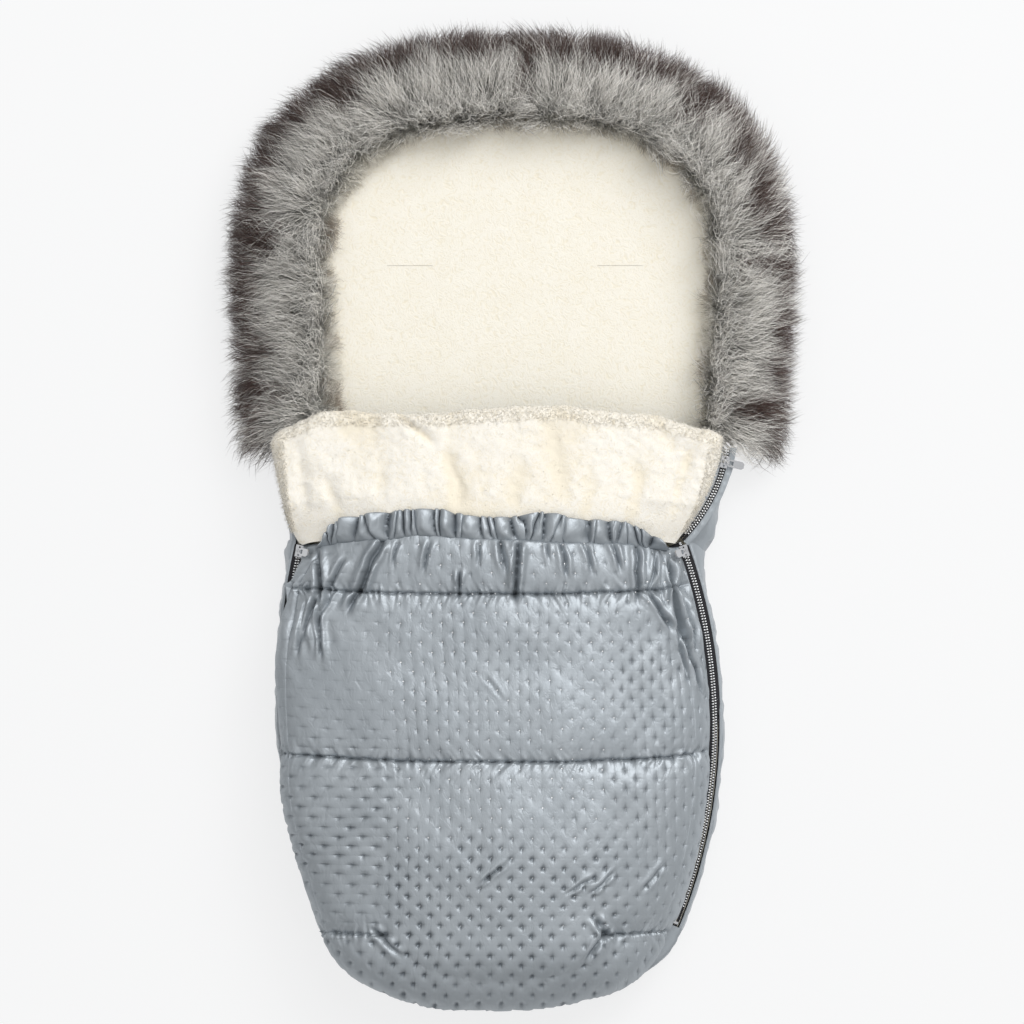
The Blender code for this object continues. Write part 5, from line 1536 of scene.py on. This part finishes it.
BENDS = [0.11, -0.10, 0.04, -0.16, 0.18]
FUR_LAYERS = 5
HAIRS_IN_LAYER = 12400
FIRST_SEED = 200
for layer in range(FUR_LAYERS):
    name = "fur_hair_%d" % (layer + 1)
    made = fur_layer(name, HAIRS_IN_LAYER, FIRST_SEED + layer, BENDS[layer], layer % 2)
print("fur hairs:", FUR_LAYERS * HAIRS_IN_LAYER, "faces in a layer:", len(made.data.polygons))

# %% [markdown]
# ## Pile
# Fleece has no hard edge: short curly fibres stand off it everywhere, and they show most where the cuff ends
# against the lining. So the hair tree plants short tapered fibres over the cuff, thickest at its free edge.

# %% Pile
PILE_COUNT, PILE_LENGTH = 9500, 0.0040
AT_EDGE, AT_SIDES = 0.85, 0.28
pile_hair = hair_mesh("pile_hair", [(0.0, 0.0, 0.0, 0.060), (1.0, 0.0, 0.10, 0.0)])
draw = np.random.default_rng(301)


def pile_draw(low=0.0, high=1.0):
    return draw.uniform(low, high, PILE_COUNT)


last_row, last_column = (count - 1.001 for count in cuff_top.shape[:2])
row = pile_draw(0.06)
row = np.where(pile_draw() < AT_EDGE, pile_draw(0.88), row) * last_row
beside = np.where(pile_draw() < 0.5, pile_draw(0.0, 0.03), pile_draw(0.97))
beside = np.where(pile_draw() < AT_SIDES, beside, pile_draw())
row = np.where(np.abs(beside - 0.5) > 0.47, pile_draw(0.1) * last_row, row)
column = beside * last_column
i, j = row.astype(int), column.astype(int)
down, over = (row - i)[:, None], (column - j)[:, None]
layers = cuff_top, upward_normals(cuff_top, -0.3)
corner = [lerp(layer[i, j], layer[i, j + 1], over) for layer in layers]
below = [lerp(layer[i + 1, j], layer[i + 1, j + 1], over) for layer in layers]
root, out = (lerp(a, b, down) for a, b in zip(corner, below))
aim = unit(unit(out) + 0.75 * draw.normal(size=(PILE_COUNT, 3)))
aim = np.where(((aim * out).sum(1) < 0.1)[:, None], unit(aim + unit(out)), aim)
size = PILE_LENGTH * pile_draw(0.6, 1.4)
cuff_pile = plant("cuff_pile", root - unit(out) * 0.0004, aim, unit(out + 0.01), size, pile_hair, cuff_wool)
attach(cuff_pile, "cuff")
bpy.data.objects.remove(pile_hair)
print("pile:", len(cuff_pile.data.polygons), "faces")

# %% [markdown]
# ## Zips
# Each zip is two woven tapes with a row of moulded teeth on each. A row repeats one tooth along the zip's
# line, so a node tree spaces copies of it by length; the facing row is shifted by half a step to mesh.

# %% Zips
TAPE_THICKNESS = 0.0008
TOOTH_STEP = 0.00275
ROW_OFFSET = 0.0013
TOOTH_SIZE = (0.0014, 0.0022, 0.0026)


def path_curve(name, points):
    curve = bpy.data.curves.new(name, "CURVE")
    curve.dimensions = "3D"
    spline = curve.splines.new("POLY")
    spline.points.add(len(points) - 1)
    spline.points.foreach_set("co", np.concatenate([points, np.ones((len(points), 1))], -1).ravel())
    return show(name, curve)


def row_tree():
    tree, given = copy_tree("Space copies along a line", {
        "Line": "Geometry", "Copy": "Object", "Step": "Float", "Finish": "Material"})
    line = {"Curve": given["Line"], "Length": given["Step"]}
    points = put(tree, "GeometryNodeCurveToPoints", line, mode="LENGTH").outputs
    turned = put(tree, "FunctionNodeAlignRotationToVector", {"Vector": points["Tangent"]}, axis="X")
    place_copies(tree, given["Copy"], given["Finish"], {
        "Points": points["Points"], "Rotation": turned.outputs[0]})
    return tree


SPACE_COPIES = row_tree()
work = bmesh.new()
bmesh.ops.create_cube(work, size=1)
bmesh.ops.scale(work, verts=work.verts, vec=TOOTH_SIZE)
bmesh.ops.bevel(work, geom=work.edges[:], offset=min(TOOTH_SIZE) * 0.22, segments=1, affect="EDGES")
tooth_mesh = bpy.data.meshes.new("tooth")
work.to_mesh(tooth_mesh)
work.free()
tooth_mesh.shade_smooth()
tooth = show("tooth", tooth_mesh)


def strip_line(side, arc, y, offset, height):
    """Points that follow a zip line at an outward offset."""
    widest_x, widest_y, radius = arc
    angle = np.arcsin((y - widest_y) / radius)
    reach = radius + offset
    x = widest_x - side * radius + side * reach * np.cos(angle)
    return np.stack([x, widest_y + reach * np.sin(angle), 0 * y + height], -1)


def along_zip(side, arc, y, low, high, shares, height):
    """A grid of points along a zip, from a low to a high outward offset."""
    return np.stack([strip_line(side, arc, y, lerp(low, high, share), height) for share in shares], 1)


def tooth_row(name, side, arc, start, end, offset, phase, body, node):
    """A row of teeth along a zip, spaced by a node tree."""
    line = strip_line(side, arc, np.linspace(start + phase, end, 120), offset, ZIP_HEIGHT)
    values = {"Copy": tooth, "Step": TOOTH_STEP, "Finish": silver_teeth}
    row = run_tree(name, path_curve(name + "_line", line), SPACE_COPIES, values)
    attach(row, body)
    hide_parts(node)


def tape_strip(name, side, arc, start, end, low, high, body, node):
    """A flat tape along a zip, narrower up the bag than beside the foot."""
    y = np.linspace(start, end, 100)
    outer = np.minimum(high, lerp(0.0028, 0.0090, smooth((y + 0.215) / 0.05)))
    face = along_zip(side, arc, y, low, outer, (0, 0.25, 0.5, 0.75, 1), ZIP_HEIGHT + TAPE_THICKNESS / 2)
    strip = shell(name, face, face - (0, 0, TAPE_THICKNESS), black_tape)
    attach(strip, body)
    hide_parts(node)


for side, word in ((LEFT, "left"), (RIGHT, "right")):
    arc = SIDE_ARCS[side]
    back, cover = word + "_back_", word + "_cover_"
    tape_strip(back + "zip_tape", side, arc, -0.414, -0.0305, 0.0004, 0.0058, "back", back + "tape")
    apron = word + "_apron_"
    tape_strip(cover + "zip_tape", side, arc, -0.414, MOUTH_Y, -0.0130, -0.0004, "apron", apron + "tape")
    tooth_row(back + "teeth", side, arc, -0.392, -0.043, ROW_OFFSET, TOOTH_STEP / 2, "back", back + "chain")
    tooth_row(cover + "teeth", side, arc, -0.406, -0.0292, -ROW_OFFSET, 0, "apron", apron + "chain")
neck = NECK_ARCS[RIGHT]
tape_strip("upper_outer_zip_tape", RIGHT, neck, -0.024, 0.066, 0.0004, 0.0054, "back", "upper_outer_tape")
tape_strip("upper_inner_zip_tape", RIGHT, neck, -0.024, 0.066, -0.0054, -0.0004, "back", "upper_inner_tape")
for word, low, high in (("outer", 0.0031, 0.0092), ("inner", -0.0088, -0.0031)):
    y = np.linspace(-0.024, 0.068, 140)
    shares = np.linspace(0, 1, 7)
    face = along_zip(RIGHT, neck, y, low, high, shares, ZIP_HEIGHT)
    pucker = cloud(y[:, None] + 0 * face[..., 0], face[..., 0] * 0.3, 0.0032, 84)
    roll = np.sin(math.pi * shares)[None, :]
    face[..., 2] += 0.0006 + 0.0006 * roll + 0.0003 * pucker * roll
    welt = shell("upper_" + word + "_welt", face, face - (0, 0, 0.0010), plain_satin)
    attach(welt, "back")
for word, offset, phase in (("outer", ROW_OFFSET, TOOTH_STEP / 2), ("inner", -ROW_OFFSET, 0)):
    row = "upper_" + word
    tooth_row(row + "_teeth", RIGHT, neck, -0.019, 0.064, offset, phase, "back", row + "_chain")
for name in ("left_slider", "right_slider", "upper_slider", "left_pull", "right_pull", "upper_pull",
             "left_top_stop", "right_top_stop", "left_bottom_stop", "right_bottom_stop"):
    nodes[name].data.materials.clear()
    nodes[name].data.materials.append(bright_chrome)
print("zips made")

# %% Finish
bpy.data.objects.remove(tooth)
